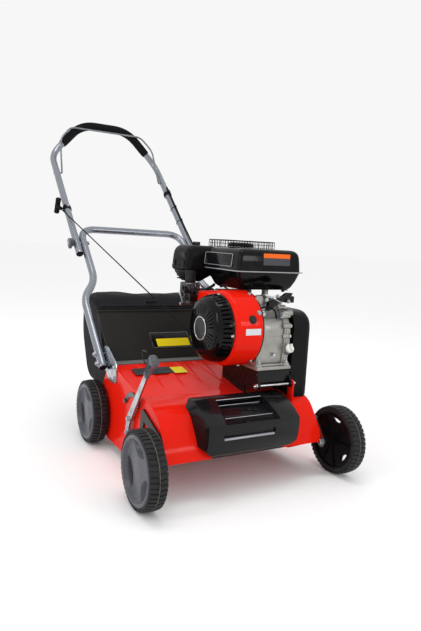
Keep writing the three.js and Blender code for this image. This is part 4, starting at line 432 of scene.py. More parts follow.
def shader(name, colour, roughness, metallic=0.0, coat=0.0, second=None, mottle=30.0, mottle_amount=0.5,
           rough_spread=0.05, rough_scale=60.0, bump=0.0, bump_scale=400.0, bump_depth=0.0004,
           voronoi=False, stretch=(1, 1, 1), sheen=0.0, specular=0.5, anisotropy=0.0):
    """A moulded, painted or cast surface with mottled colour, uneven gloss and a fine grain."""
    material = bpy.data.materials.new(name)
    material.use_nodes = True
    tree = material.node_tree
    main = tree.nodes["Principled BSDF"]
    main.inputs["Metallic"].default_value = metallic
    main.inputs["Coat Weight"].default_value = coat
    main.inputs["Coat Roughness"].default_value = 0.04
    main.inputs["Sheen Weight"].default_value = sheen
    main.inputs["Specular IOR Level"].default_value = specular
    main.inputs["Anisotropic"].default_value = anisotropy
    place = tree.nodes.new("ShaderNodeTexCoord")
    mapping = tree.nodes.new("ShaderNodeMapping")
    mapping.inputs["Scale"].default_value = stretch
    tree.links.new(place.outputs["Object"], mapping.inputs["Vector"])

    def spots(scale, detail=4.0):
        texture = tree.nodes.new("ShaderNodeTexNoise")
        texture.inputs["Scale"].default_value = scale
        texture.inputs["Detail"].default_value = detail
        tree.links.new(mapping.outputs["Vector"], texture.inputs["Vector"])
        return texture.outputs["Fac"]

    def spread(source, low, high):
        node = tree.nodes.new("ShaderNodeMapRange")
        node.inputs["From Min"].default_value = 0.3
        node.inputs["From Max"].default_value = 0.7
        node.inputs["To Min"].default_value = low
        node.inputs["To Max"].default_value = high
        tree.links.new(source, node.inputs["Value"])
        return node.outputs["Result"]

    if second is None:
        second = tuple(channel * 0.82 for channel in colour)
    blend = tree.nodes.new("ShaderNodeMix")
    blend.data_type = "RGBA"
    blend.inputs["A"].default_value = (*colour, 1)
    blend.inputs["B"].default_value = (*second, 1)
    tree.links.new(spread(spots(mottle), 0, mottle_amount), blend.inputs["Factor"])
    tree.links.new(blend.outputs["Result"], main.inputs["Base Color"])
    tree.links.new(
        spread(spots(rough_scale), max(0.02, roughness - rough_spread), roughness + rough_spread),
        main.inputs["Roughness"],
    )
    if bump > 0:
        if voronoi:
            grain = tree.nodes.new("ShaderNodeTexVoronoi")
            grain.inputs["Scale"].default_value = bump_scale
            tree.links.new(mapping.outputs["Vector"], grain.inputs["Vector"])
            height = grain.outputs["Distance"]
        else:
            height = spots(bump_scale, 6.0)
        node = tree.nodes.new("ShaderNodeBump")
        node.inputs["Strength"].default_value = bump
        node.inputs["Distance"].default_value = bump_depth
        tree.links.new(height, node.inputs["Height"])
        tree.links.new(node.outputs["Normal"], main.inputs["Normal"])
    return material


def woven(name, colour, second, pitch, roughness=0.85, depth=0.0005):
    """Cloth with a plain weave that follows the object's own axes."""
    material = bpy.data.materials.new(name)
    material.use_nodes = True
    tree = material.node_tree
    main = tree.nodes["Principled BSDF"]
    main.inputs["Roughness"].default_value = roughness
    main.inputs["Sheen Weight"].default_value = 0.06
    main.inputs["Specular IOR Level"].default_value = 0.12
    main.inputs["Sheen Roughness"].default_value = 0.5
    place = tree.nodes.new("ShaderNodeTexCoord")
    split = tree.nodes.new("ShaderNodeSeparateXYZ")
    tree.links.new(place.outputs["Object"], split.inputs["Vector"])

    def math_node(operation, *inputs):
        node = tree.nodes.new("ShaderNodeMath")
        node.operation = operation
        for i, value in enumerate(inputs):
            if isinstance(value, (int, float)):
                node.inputs[i].default_value = value
            else:
                tree.links.new(value, node.inputs[i])
        return node.outputs["Value"]

    turns = 2 * math.pi / (pitch * MM)
    along = math_node("ADD", split.outputs["Y"], split.outputs["Z"])
    warp = math_node("SINE", math_node("MULTIPLY", split.outputs["X"], turns))
    weft = math_node("SINE", math_node("MULTIPLY", along, turns))
    threads = math_node("MULTIPLY", warp, weft)
    noisy = tree.nodes.new("ShaderNodeTexNoise")
    noisy.inputs["Scale"].default_value = 14.0
    tree.links.new(place.outputs["Object"], noisy.inputs["Vector"])
    level = math_node("ADD", math_node("MULTIPLY", threads, 0.35), noisy.outputs["Fac"])
    blend = tree.nodes.new("ShaderNodeMix")
    blend.data_type = "RGBA"
    blend.inputs["A"].default_value = (*second, 1)
    blend.inputs["B"].default_value = (*colour, 1)
    tree.links.new(level, blend.inputs["Factor"])
    tree.links.new(blend.outputs["Result"], main.inputs["Base Color"])
    node = tree.nodes.new("ShaderNodeBump")
    node.inputs["Strength"].default_value = 0.6
    node.inputs["Distance"].default_value = depth
    tree.links.new(threads, node.inputs["Height"])
    tree.links.new(node.outputs["Normal"], main.inputs["Normal"])
    return material


RED = shader("red_paint", (0.80, 0.013, 0.004), 0.14, coat=0.04, second=(0.68, 0.010, 0.003), mottle=6,
             rough_spread=0.04, bump=0.04, bump_scale=260, bump_depth=0.0003, specular=0.08)
BLACK = shader("black_moulding", (0.0040, 0.0040, 0.0045), 0.34, second=(0.007, 0.007, 0.008), bump=0.1,
               bump_scale=1400, bump_depth=0.0002, specular=0.1)
GLOSS = shader("black_gloss", (0.0022, 0.0022, 0.0028), 0.12, coat=0.07, second=(0.004, 0.004, 0.0045),
               bump=0.02, bump_scale=300, bump_depth=0.0003, specular=0.12)
FLAP = shader("flap_moulding", (0.016, 0.0155, 0.0135), 0.5, second=(0.021, 0.020, 0.018), mottle=12,
              bump=0.3, bump_scale=900, bump_depth=0.0003, specular=0.1)
STEEL_BLACK = shader("black_steel", (0.004, 0.004, 0.0045), 0.28, coat=0.08, bump=0.05, bump_scale=500,
                     specular=0.2)
# Zinc plating; its strong dark mottle is painted reflection, streaks standing in for the surroundings
# mirrored in the metal.
ZINC = shader("zinc", (0.60, 0.63, 0.65), 0.24, metallic=1.0, second=(0.20, 0.22, 0.24), mottle=42,
              mottle_amount=0.85, rough_spread=0.1, rough_scale=110, bump=0.12, bump_scale=260)
DARK_STEEL = shader("dark_steel", (0.16, 0.175, 0.19), 0.28, metallic=1.0, second=(0.06, 0.065, 0.07),
                    mottle=50, rough_spread=0.1, bump=0.08, bump_scale=300)
WIRE = shader("wire_plating", (0.20, 0.215, 0.23), 0.2, metallic=0.8, second=(0.14, 0.15, 0.16), mottle=60,
              rough_spread=0.06, bump=0.04)
BRIGHT = shader("bright_steel", (0.62, 0.62, 0.62), 0.18, metallic=1.0, second=(0.36, 0.36, 0.37),
                mottle=90, rough_spread=0.06, bump=0.05)
TUBE = shader("tube_coating", (0.25, 0.265, 0.30), 0.22, metallic=0.75, coat=0.2,
              second=(0.215, 0.23, 0.262), mottle=14, mottle_amount=0.4, rough_spread=0.03, bump=0.02,
              bump_scale=700, bump_depth=0.0002)
GREY = shader("grey_moulding", (0.082, 0.086, 0.100), 0.3, second=(0.070, 0.074, 0.087), mottle=20,
              bump=0.12, bump_scale=1600, bump_depth=0.0002, specular=0.3)
RUBBER = shader("tread_rubber", (0.009, 0.009, 0.010), 0.55, second=(0.028, 0.027, 0.028), mottle=60,
                mottle_amount=0.8, rough_spread=0.12, bump=0.35, bump_scale=500, bump_depth=0.0005,
                specular=0.2)
SEAM = shader("tread_seam", (0.16, 0.145, 0.13), 0.8, second=(0.04, 0.036, 0.034), mottle=130,
              mottle_amount=0.9, bump=0.3, bump_scale=600, specular=0.2)
CAST = shader("cast_metal", (0.36, 0.355, 0.33), 0.38, metallic=0.75, second=(0.25, 0.245, 0.225),
              mottle=35, mottle_amount=0.7, rough_spread=0.1, rough_scale=80, bump=0.35, bump_scale=420,
              bump_depth=0.0004)
FOAM = shader("foam", (0.005, 0.005, 0.006), 0.85, second=(0.012, 0.012, 0.013), mottle=200, bump=0.5,
              bump_scale=700, bump_depth=0.0006, voronoi=True, specular=0.1)
CORD = shader("cord", (0.005, 0.005, 0.005), 0.7, second=(0.012, 0.012, 0.012), mottle=700, bump=0.8,
              bump_scale=900, bump_depth=0.0006, voronoi=True, specular=0.1)
WHITE = shader("white_plastic", (0.78, 0.80, 0.76), 0.3, second=(0.72, 0.73, 0.70), bump=0.05, specular=0.3)
LABEL = shader("bare_label", (0.66, 0.68, 0.70), 0.3, second=(0.58, 0.60, 0.62), bump=0.02, specular=0.2)
PLATE = shader("bare_plate", (0.006, 0.006, 0.007), 0.16, coat=0.12, second=(0.010, 0.010, 0.012),
               bump=0.02, specular=0.2)
ORANGE = shader("orange_label", (0.86, 0.14, 0.004), 0.32, second=(0.80, 0.12, 0.004), bump=0.02,
                specular=0.2)
YELLOW = shader("yellow_label", (0.86, 0.68, 0.006), 0.32, second=(0.82, 0.63, 0.006), bump=0.02,
                specular=0.2)
STRIP = shader("flap_seal", (0.13, 0.132, 0.132), 0.4, second=(0.09, 0.092, 0.092), bump=0.15, specular=0.2)
TRIM = shader("pale_trim", (0.34, 0.35, 0.37), 0.24, second=(0.26, 0.27, 0.29), metallic=0.4, bump=0.05)
SATIN = shader("cover_moulding", (0.006, 0.006, 0.007), 0.2, second=(0.010, 0.010, 0.011), coat=0.08,
               bump=0.06, bump_scale=1200, bump_depth=0.0002, specular=0.18)
MESH_CLOTH = woven("bag_mesh", (0.005, 0.005, 0.007), (0.018, 0.018, 0.023), 2.6)
CLOTH = woven("bag_cloth_weave", (0.004, 0.004, 0.005), (0.012, 0.012, 0.014), 1.6)


def dress(node, finish, edge):
    """Gives a solid that stays its material and soft edges."""
    thing = frame["nodes"][node]
    if not thing.material_slots:
        thing.data.materials.append(finish)
    for place in thing.material_slots:
        place.link = "OBJECT"
        place.material = finish
    soften_edges(thing, edge, 2)


# Camera, light and floor

def camera():
    spot = at(-794.95, -1155.3, 621.23)
    yaw, pitch, roll = 0.51768, 0.12695, 0.054908
    forward = at(math.sin(yaw) * math.cos(pitch), math.cos(yaw) * math.cos(pitch), -math.sin(pitch))
    right = at(math.cos(yaw), -math.sin(yaw), 0)
    up = right.cross(forward)
    across = math.cos(roll) * right + math.sin(roll) * up
    above = -math.sin(roll) * right + math.cos(roll) * up
    turned = Matrix((across, above, -forward)).transposed().to_4x4()
    lens = bpy.data.cameras.new("camera")
    lens.lens = 32.41
    lens.sensor_width = 36
    lens.clip_start = 0.05
    lens.clip_end = 60
    eye = bpy.data.objects.new("camera", lens)
    eye.matrix_world = Matrix.Translation(TO_FRAME @ spot) @ turned
    bpy.context.scene.collection.objects.link(eye)
    bpy.context.scene.camera = eye


def lamp(name, spot, target, size, power, colour=(1, 1, 1)):
    light = bpy.data.lights.new(name, "AREA")
    light.shape = "RECTANGLE"
    light.size, light.size_y = size
    light.energy = power
    light.color = colour
    thing = bpy.data.objects.new(name, light)
    thing.location = spot
    thing.rotation_euler = (Vector(target) - Vector(spot)).to_track_quat("-Z", "Y").to_euler()
    bpy.context.scene.collection.objects.link(thing)


def studio():
    world = bpy.data.worlds.new("studio")
    world.use_nodes = True
    sky = world.node_tree.nodes["Background"]
    sky.inputs["Color"].default_value = (1.0, 1.0, 1.0, 1)
    sky.inputs["Strength"].default_value = 0.93
    bpy.context.scene.world = world
    bpy.context.scene.view_settings.view_transform = "Standard"
    lamp("top", (-0.3, -0.4, 3.2), (0, 0, 0.4), (1.6, 0.8), 16)
    lamp("left", (-3.0, -0.9, 1.9), (0, 0, 0.4), (0.5, 1.4), 15)
    lamp("front", (1.2, -3.0, 1.3), (0, -0.2, 0.3), (0.9, 0.5), 9)
    floor = bpy.data.meshes.new("floor")
    edge = 40.0
    corners = [(-edge, -edge, 0), (edge, -edge, 0), (edge, edge, 0), (-edge, edge, 0)]
    floor.from_pydata(corners, [], [(0, 1, 2, 3)])
    ground = bpy.data.objects.new("floor", floor)
    ground.location.z = -0.0005
    bpy.context.scene.collection.objects.link(ground)
    floor.materials.append(shader("floor", (0.985, 0.985, 0.985), 0.8, second=(0.98, 0.98, 0.98), mottle=3,
                                  specular=0.0))


camera()
studio()


# Wheels

def blended(low, high, value):
    """Smooth step from 0 at low to 1 at high."""
    t = min(1.0, max(0.0, (value - low) / (high - low)))
    return t * t * (3 - 2 * t)


def polar_shell(name, radii, height, keep, y, x, wall, finish, body, replaces=(), steps=180):
    """A turned shell with a depth for each radius and angle, open where it isn't kept."""
    def build(bm):
        angles = [2 * math.pi * k / steps for k in range(steps)]
        grid = []
        for radius in radii:
            ring = []
            for angle in angles:
                place = at(x(height(radius, angle)), y + radius * math.cos(angle),
                           WHEEL_RADIUS + radius * math.sin(angle))
                ring.append(bm.verts.new(place))
            grid.append(ring)
        for i, (low, high) in enumerate(zip(grid, grid[1:])):
            middle = (radii[i] + radii[i + 1]) / 2
            for k in range(steps):
                j = (k + 1) % steps
                if keep(middle, angles[k] + math.pi / steps):
                    bm.faces.new((low[k], low[j], high[j], high[k]))
        if radii[0] < 3:
            bm.faces.new(list(reversed(grid[0])))
        loose = [vert for vert in bm.verts if not vert.link_faces]
        bmesh.ops.delete(bm, geom=loose, context="VERTS")

    thing = new_mesh(name, build)
    thick = thing.modifiers.new("wall", "SOLIDIFY")
    thick.thickness = wall * MM
    thick.offset = 0
    bake(thing)
    thing.data.materials.append(finish)
    shade(thing, 50)
    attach(thing, body)
    if replaces:
        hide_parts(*replaces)


SCOOPS = [math.radians(a) for a in (98, 218, 338)]
SCOOP_REACH = 76
SCOOP_RADIUS = 43
SCOOP_SLOPE = 30
SCOOP_DEPTH = 24
HOLE_RADIUS = 50
TREAD_BLOCKS = 46
COVER_FACE = [(0, 40.4), (10, 40.2), (20, 39.6), (32, 38.0), (48, 36.8), (60, 36.6), (66, 37.4),
              (69.5, 39.6), (72.4, 43.6), (74.6, 46.6), (77, 47.9), (79.6, 47.6), (81.4, 46.2),
              (82.2, 44.4)]


def face_depth(radius):
    for (r0, v0), (r1, v1) in zip(COVER_FACE, COVER_FACE[1:]):
        if radius <= r1:
            t = (radius - r0) / (r1 - r0)
            return v0 + (v1 - v0) * t
    return COVER_FACE[-1][1]


def scoop(radius, angle):
    """How deep the nearest of three round scoops is, from 0 to 1."""
    off = min(abs(math.remainder(angle - middle, 2 * math.pi)) for middle in SCOOPS)
    away = math.sqrt(radius ** 2 + SCOOP_REACH ** 2 - 2 * radius * SCOOP_REACH * math.cos(off))
    level = min(1.0, max(0.0, (SCOOP_RADIUS - away) / SCOOP_SLOPE))
    return math.sin(level * math.pi / 2) * (1 - blended(67.2, 68.4, radius))


def wheel(name, inner, side, y):
    """Tyre with staggered tread blocks, black wheel and grey cover with three scoops."""
    body = f"{name}_wheel"

    def x(value):
        return side * (inner + value)

    def carcass(bm):
        profile = [(4.2, 78.4), (3.4, 82), (4.4, 87.5), (8, 90.6), (14, 91.8), (23.6, 92.0), (26, 92.0),
                   (36, 91.8), (42, 90.6), (45.6, 88), (46.8, 86), (46.6, 83.4), (45.0, 82.8), (44.8, 78.4)]
        turn_x(bm, [(x(a), r) for a, r in profile + profile[:1]], y, WHEEL_RADIUS, 128)
        blocks = TREAD_BLOCKS
        for row, (low, high, lean) in enumerate([(2.6, 23.6, 0.8), (26.0, 47.0, -0.8)]):
            for i in range(blocks):
                middle = 360 * (i + 0.5 * row) / blocks - 90
                half = 3.2
                corners = []
                for radius in (89.0, 94.9):
                    for edge, shift in ((low, -lean), (high, lean)):
                        inward = 1.0 if radius > 90 else 0.0
                        outer = edge == (low if row == 0 else high)
                        trim = (2.6 if outer else 0.5) * inward
                        place = edge + trim if edge == low else edge - trim
                        drop = 1.9 if outer and inward else 0.0
                        for spread in (-half, half):
                            angle = math.radians(middle + shift + spread * (0.86 if inward else 1.0))
                            reach = radius - drop
                            corners.append(at(x(place), y + reach * math.cos(angle),
                                              WHEEL_RADIUS + reach * math.sin(angle)))
                made = [bm.verts.new(p) for p in corners]
                for quad in ((0, 1, 3, 2), (4, 6, 7, 5), (0, 4, 5, 1), (2, 3, 7, 6), (0, 2, 6, 4),
                             (1, 5, 7, 3)):
                    bm.faces.new([made[k] for k in quad])

    piece(f"{name}_tread", carcass, RUBBER, body, [f"{name}_tyre"], edge=0.4, segments=1)

    def seam(bm):
        turn_x(bm, [(x(23.4), 91.4), (x(23.7), 94.1), (x(24.8), 94.7), (x(25.9), 94.1), (x(26.2), 91.4),
                    (x(23.4), 91.4)], y, WHEEL_RADIUS, 128)

    piece(f"{name}_seam", seam, SEAM, body)
    radii = [1.5] + [4 + 2 * k for k in range(14)] + [32 + 1.25 * k for k in range(26)]
    radii += [64.5 + 0.6 * k for k in range(14)]
    radii += [73.5, 74.6, 75.8, 77, 78.2, 79.6, 80.6, 81.4, 82.0, 82.2]

    def cover_height(radius, angle):
        return face_depth(radius) - SCOOP_DEPTH * scoop(radius, angle)

    def cover_keep(radius, angle):
        return scoop(radius, angle) < 0.84 or radius < HOLE_RADIUS

    polar_shell(f"{name}_cover", radii, cover_height, cover_keep, y, x, 1.8, GREY, body, [f"{name}_hub"])

    def web_keep(radius, angle):
        return scoop(radius, angle) < 0.84 or not HOLE_RADIUS < radius < 67

    polar_shell(f"{name}_web", [7.5, 12, 17, 24, 32, 40, 46, 52, 58, 65, 70, 73, 74.6], lambda r, a: 10,
                web_keep, y, x, 2.4, BLACK, body)

    def barrel(bm):
        profile = [(0.4, 7.2), (0.4, 15), (20, 17.0), (33, 14), (33, 7.2), (0.4, 7.2)]
        turn_x(bm, [(x(a), r) for a, r in profile], y, WHEEL_RADIUS, 64)
        rim = [(5, 74.2), (4.9, 77.9), (44.6, 77.9), (44.4, 74.6), (30, 73.4), (5, 74.2)]
        turn_x(bm, [(x(a), r) for a, r in rim], y, WHEEL_RADIUS, 96)
        for i in range(9):
            if i % 3 == 1:
                continue
            angle = SCOOPS[0] + math.radians(40 * i - 40)
            span = at(0, math.cos(angle), math.sin(angle))
            across = at(0, -math.sin(angle), math.cos(angle)) * 1.1
            centre = at(0, y, WHEEL_RADIUS)
            corners = [centre + at(x(a), 0, 0) + span * r
                       for a, r in ((4, 15.5), (4, 74.5), (10, 74.5), (10, 15.5))]
            loft(bm, [[p - across for p in corners], [p + across for p in corners]])

    piece(f"{name}_rim", barrel, BLACK, body)


for name, inner, side, y in (
    ("front_left", FRONT_WHEEL_INNER, -1, 0), ("front_right", FRONT_WHEEL_INNER, 1, 0),
    ("rear_left", REAR_WHEEL_INNER, -1, REAR_AXLE_Y), ("rear_right", REAR_WHEEL_INNER, 1, REAR_AXLE_Y),
):
    wheel(name, inner, side, y)


# Deck

def through(points, per=6):
    """A smooth curve through points of the side view."""
    spots = [Vector(p) for p in points]
    spots = [spots[0] * 2 - spots[1]] + spots + [spots[-1] * 2 - spots[-2]]
    result = []
    for i in range(1, len(spots) - 2):
        p0, p1, p2, p3 = spots[i - 1:i + 3]
        for k in range(per):
            t = k / per
            result.append(0.5 * ((2 * p1) + (p2 - p0) * t + (2 * p0 - 5 * p1 + 4 * p2 - p3) * t * t
                                 + (3 * p1 - p0 - 3 * p2 + p3) * t ** 3))
    result.append(spots[-2])
    return [tuple(p) for p in result]


def rib_height(x, y):
    """Pressed ribs of the sloping top: wide at the rear and pointed at the front."""
    front, rear = 196, 376
    if not front < y < rear:
        return 0.0
    best = 0.0
    for middle in (-150, -88, -26, 36):
        half = 19 * (y - front) / (rear - front)
        inside = half - abs(x - middle)
        if inside > 0:
            best = max(best, min(1.0, inside / 4.5) * min(1.0, (rear - y) / 6))
    return 2.2 * best


def deck():
    front = through(DECK_FRONT, 7)
    slope = [tuple(Vector(SLOPE_FOOT).lerp(Vector(SLOPE_HEAD), k / 56)) for k in range(1, 57)]
    profile = front + slope + [(393, 257.6), (400, 260)]
    rest = arc(*FLAP_HINGE, 12, 10, 150, -20)
    rest += [(491, 142.5), (505, 78), (480, 49.4), (434, 33.4), (404, 28), (140, 28), (84, 56), (40, 78)]
    columns = [-DECK_HALF, -DECK_HALF + 9]
    columns += [-DECK_HALF + 9 + (2 * DECK_HALF - 18) * k / 226 for k in range(1, 226)]
    columns += [DECK_HALF - 9, DECK_HALF]

    def build(bm):
        grid = [[bm.verts.new((x, y, z + rib_height(x, y))) for y, z in profile] for x in columns]
        for low, high in zip(grid, grid[1:]):
            for i in range(len(profile) - 1):
                bm.faces.new((low[i], low[i + 1], high[i + 1], high[i]))
        for column, x in ((grid[0], columns[0]), (grid[-1], columns[-1])):
            extra = [bm.verts.new((x, y, z)) for y, z in rest]
            bm.faces.new(column + extra)
            edges = [bm.edges.get((column[i], column[i + 1])) for i in range(len(column) - 1)]
            bmesh.ops.bevel(bm, geom=edges, offset=4.5, segments=4, affect="EDGES", profile=0.5)

    thing = new_mesh("deck_pressing", build)
    wall = thing.modifiers.new("wall", "SOLIDIFY")
    wall.thickness = 2.4 * MM
    wall.offset = -1
    bake(thing)
    thing.data.materials.append(RED)
    shade(thing, 30)
    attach(thing, "frame")
    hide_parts("deck")

    def lug(bm):
        outline = softened([(59, 196), (83, 200), (83, 259), (59, 259)], [0, 0, 11, 11])
        prism(bm, outline, 170.3, 174.3)

    piece("deck_rod_lug", lug, RED, "frame", edge=0.8)

    def hinge_strip(bm):
        prism(bm, [(378, 254.4), (399, 259.0), (399, 262.2), (378, 257.6)], -222, 222)

    piece("deck_hinge_strip", hinge_strip, STRIP, "frame", edge=0.5)

    def plate(x0, x1, y0, y1):
        def build(bm):
            def height(y):
                (y0, z0), (y1, z1) = SLOPE_FOOT, SLOPE_HEAD
                return z0 + (z1 - z0) * (y - y0) / (y1 - y0) + 3.7
            rings = [[at(x, y, height(y) + lift) for x, y in rectangle(x0, x1, y0, y1)]
                     for lift in (0, 0.35)]
            loft(bm, rings)
        return build

    piece("deck_bare_plate", plate(-197, -79, 294, 338), PLATE, "frame")
    piece("deck_bare_label", plate(-78, -37, 290, 332), YELLOW, "frame")


deck()


# Front cover

COVER_HALF = 147
COVER_OUTER = [(-1, 98), (-12, 107), (-21, 134), (-24, 164), (-22.5, 183), (0, 199), (30, 215), (58, 224.5),
               (75, 227), (98, 225), (112, 219)]
BAY_FLOOR = [(-60, 182.5), (-17, 184), (4, 189), (60, 208)]
BAY_TOP = 221.5


def deck_height(y):
    for (y0, z0), (y1, z1) in zip(DECK_TOP, DECK_TOP[1:]):
        if y0 <= y <= y1:
            return z0 + (z1 - z0) * (y - y0) / (y1 - y0)
    return DECK_TOP[-1][1]


def offset_line(points, away):
    """A line of the side view moved outwards."""
    result = []
    for i, point in enumerate(points):
        before = Vector(points[max(i - 1, 0)])
        after = Vector(points[min(i + 1, len(points) - 1)])
        run = (after - before).normalized()
        result.append((point[0] - run.y * away, point[1] + run.x * away))
    return result


def front_cover():
    """A hooded moulding with a hand slot under its rim, a sloping name plate and a grooved face."""
    half = COVER_HALF
    flat = half - 11
    surface = through(DECK_FRONT, 7)
    under = [p for p in offset_line(surface, 0.6) if p[0] < COVER_OUTER[-1][0]]
    skirt = [p for p in offset_line(surface, 2.2) if p[0] < COVER_OUTER[-1][0]]
    last = len(COVER_OUTER) - 1
    edge = [skirt[round(i * (len(skirt) - 1) / last)] for i in range(last + 1)]

    def body(bm):
        rings = []
        for x, share in ((-half, 0), (-half + 4, 0.3), (-flat, 1), (flat, 1), (half - 4, 0.3), (half, 0)):
            outer = [(a0 + (a1 - a0) * share, b0 + (b1 - b0) * share)
                     for (a0, b0), (a1, b1) in zip(edge, COVER_OUTER)]
            rings.append([at(x, a, b) for a, b in outer + list(reversed(under))])
        loft(bm, rings)

    def face(bm):
        corners = [(-102, 90), (92, 90), (half + 1, 124), (half + 1, 300), (-half - 1, 300),
                   (-half - 1, 128)]
        prism(bm, corners, -80, 150, "y")

    def plan(bm):
        corners = [(-half - 1, -60), (half + 1, -60), (half + 1, 72), (118, 110), (-112, 110),
                   (-half - 1, 84)]
        prism(bm, corners, 0, 400, "z")

    def bay(bm):
        section = BAY_FLOOR + [(86, 208), (86, BAY_TOP), (61, BAY_TOP), (56, 260), (-60, 260)]
        rings = []
        for side, top, grow in ((-1, 74, 0.17), (1, 64, 0.14)):
            rings.append([at(side * (top + (62 - a) * grow), a, b) for a, b in section])
        loft(bm, rings)

    def groove(bm):
        section = [(-60, 143), (-19, 147), (-15.5, 151), (-16.5, 163), (-60, 166)]
        prism(bm, section, -93, 60)

    thing = new_mesh("front_cover_shell", body)
    for step in (face, plan):
        carve(thing, step, "INTERSECT")
    for step in (bay, groove):
        carve(thing, step)
    soften_edges(thing, 1.8, 3, 24)
    bake(thing)
    thing.data.materials.append(SATIN)
    shade(thing, 32)
    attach(thing, "frame")
    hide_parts("front_cover")

    def bar(bm):
        sweep(bm, [at(-91, -20.2, 147.6), at(58, -20.2, 147.6)], 3.3, 16)

    # The ridge's pale finish is a painted highlight: the groove's lower lip catching light.
    piece("front_cover_ridge", bar, TRIM, "frame", edge=0.8)

    def on_floor(x, share, lift):
        (a0, b0), (a1, b1) = BAY_FLOOR[2:]
        return at(x, a0 + (a1 - a0) * share - lift * 0.32, b0 + (b1 - b0) * share + lift * 0.95)

    def plate(bm):
        corners = [(-73, 0.1), (66, 0.1), (60, 0.92), (-70, 0.92)]
        loft(bm, [[on_floor(x, share, lift) for x, share in corners] for lift in (0.1, 1.1)])

    piece("front_cover_bare_plate", plate, PLATE, "frame", edge=0.4)

    def rims(bm):
        sweep(bm, [on_floor(-70, 0.96, 1.2), on_floor(60, 0.96, 1.2)], 0.8, 8)
        sweep(bm, [on_floor(-76, 0.04, 1.2), on_floor(69, 0.04, 1.2)], 0.9, 8)
        sweep(bm, [at(-74, 59.4, BAY_TOP + 1.6), at(63, 59.4, BAY_TOP + 1.6)], 1.1, 8)

    # Pale lines along the name plate's top edge, its lower edge and the slot's rim; the lower one is a
    # painted highlight of the shelf edge.
    piece("front_cover_rims", rims, TRIM, "frame")


front_cover()


# Belt cover

def belt_cover():
    low = deck_height(80) - 6

    def outline(inset_by):
        corners = rectangle(BELT_COVER_FRONT + inset_by, BELT_COVER_REAR - inset_by, low,
                            BELT_COVER_TOP - inset_by)
        return softened(corners, [0, 0, 55 - inset_by, 55 - inset_by], 10)

    def shell(bm):
        steps = [(175.7, 0)]
        for k in range(8):
            turn_by = math.radians(90 * k / 7)
            steps.append((243 - 22 + 22 * math.sin(turn_by), 22 * (1 - math.cos(turn_by))))
        loft(bm, [[at(x, a, b) for a, b in outline(grow)] for x, grow in steps])

    def hollow(bm):
        prism(bm, outline(3), 170, 238)

    def below(bm):
        top = [(-40, 60)] + [(y, z + 0.4) for y, z in DECK_TOP] + [(400, 0), (-40, 0)]
        prism(bm, top, 160, 260)

    piece("belt_cover_shell", shell, BLACK, "frame", ["belt_cover"], edge=1.2, segments=3,
          cuts=[hollow, below])

    def lip(bm):
        path = [at(177.4, a, b) for a, b in outline(-0.6) if b > deck_height(80) + 4]
        sweep(bm, resample(path, 12), 1.7, 10)

    piece("belt_cover_lip", lip, BLACK, "frame")

    def screws(bm):
        for y, z in ((98, 300), (98, 240), (284, 330), (284, 270)):
            turn(bm, [(0, 0), (0, 5.6), (1.6, 5.4), (3, 3.6), (3, 0)], at(241.4, y, z), (1, 0, 0), 20)

    piece("belt_cover_screws", screws, ZINC, "frame")


belt_cover()


# Engine

SHROUD_RADIUS = 104
SHROUD_FRONT = -23
SHROUD_REAR = 57.2

# Upright centre lines in the plan, as (x, y)
CARBURETTOR = (-21, 336)
FUEL_CAP = (84, 236)
CRANKCASE_FEET = [(70, 86), (160, 86), (70, 234), (160, 234)]


def shroud_outline(inset_by, steps=48):
    y0, z0 = CRANK
    radius = SHROUD_RADIUS - inset_by
    rear = y0 + SHROUD_RADIUS * 1.28 - inset_by
    top = z0 + SHROUD_RADIUS * 0.87 - inset_by
    points = arc(y0, z0, radius, steps, 72, 282)
    corners = [(y0 + SHROUD_RADIUS * 0.68, z0 - SHROUD_RADIUS * 0.92 + inset_by),
               (rear - SHROUD_RADIUS * 0.2, z0 - SHROUD_RADIUS * 0.35), (rear, top - 20), (rear - 6, top)]
    return points + corners


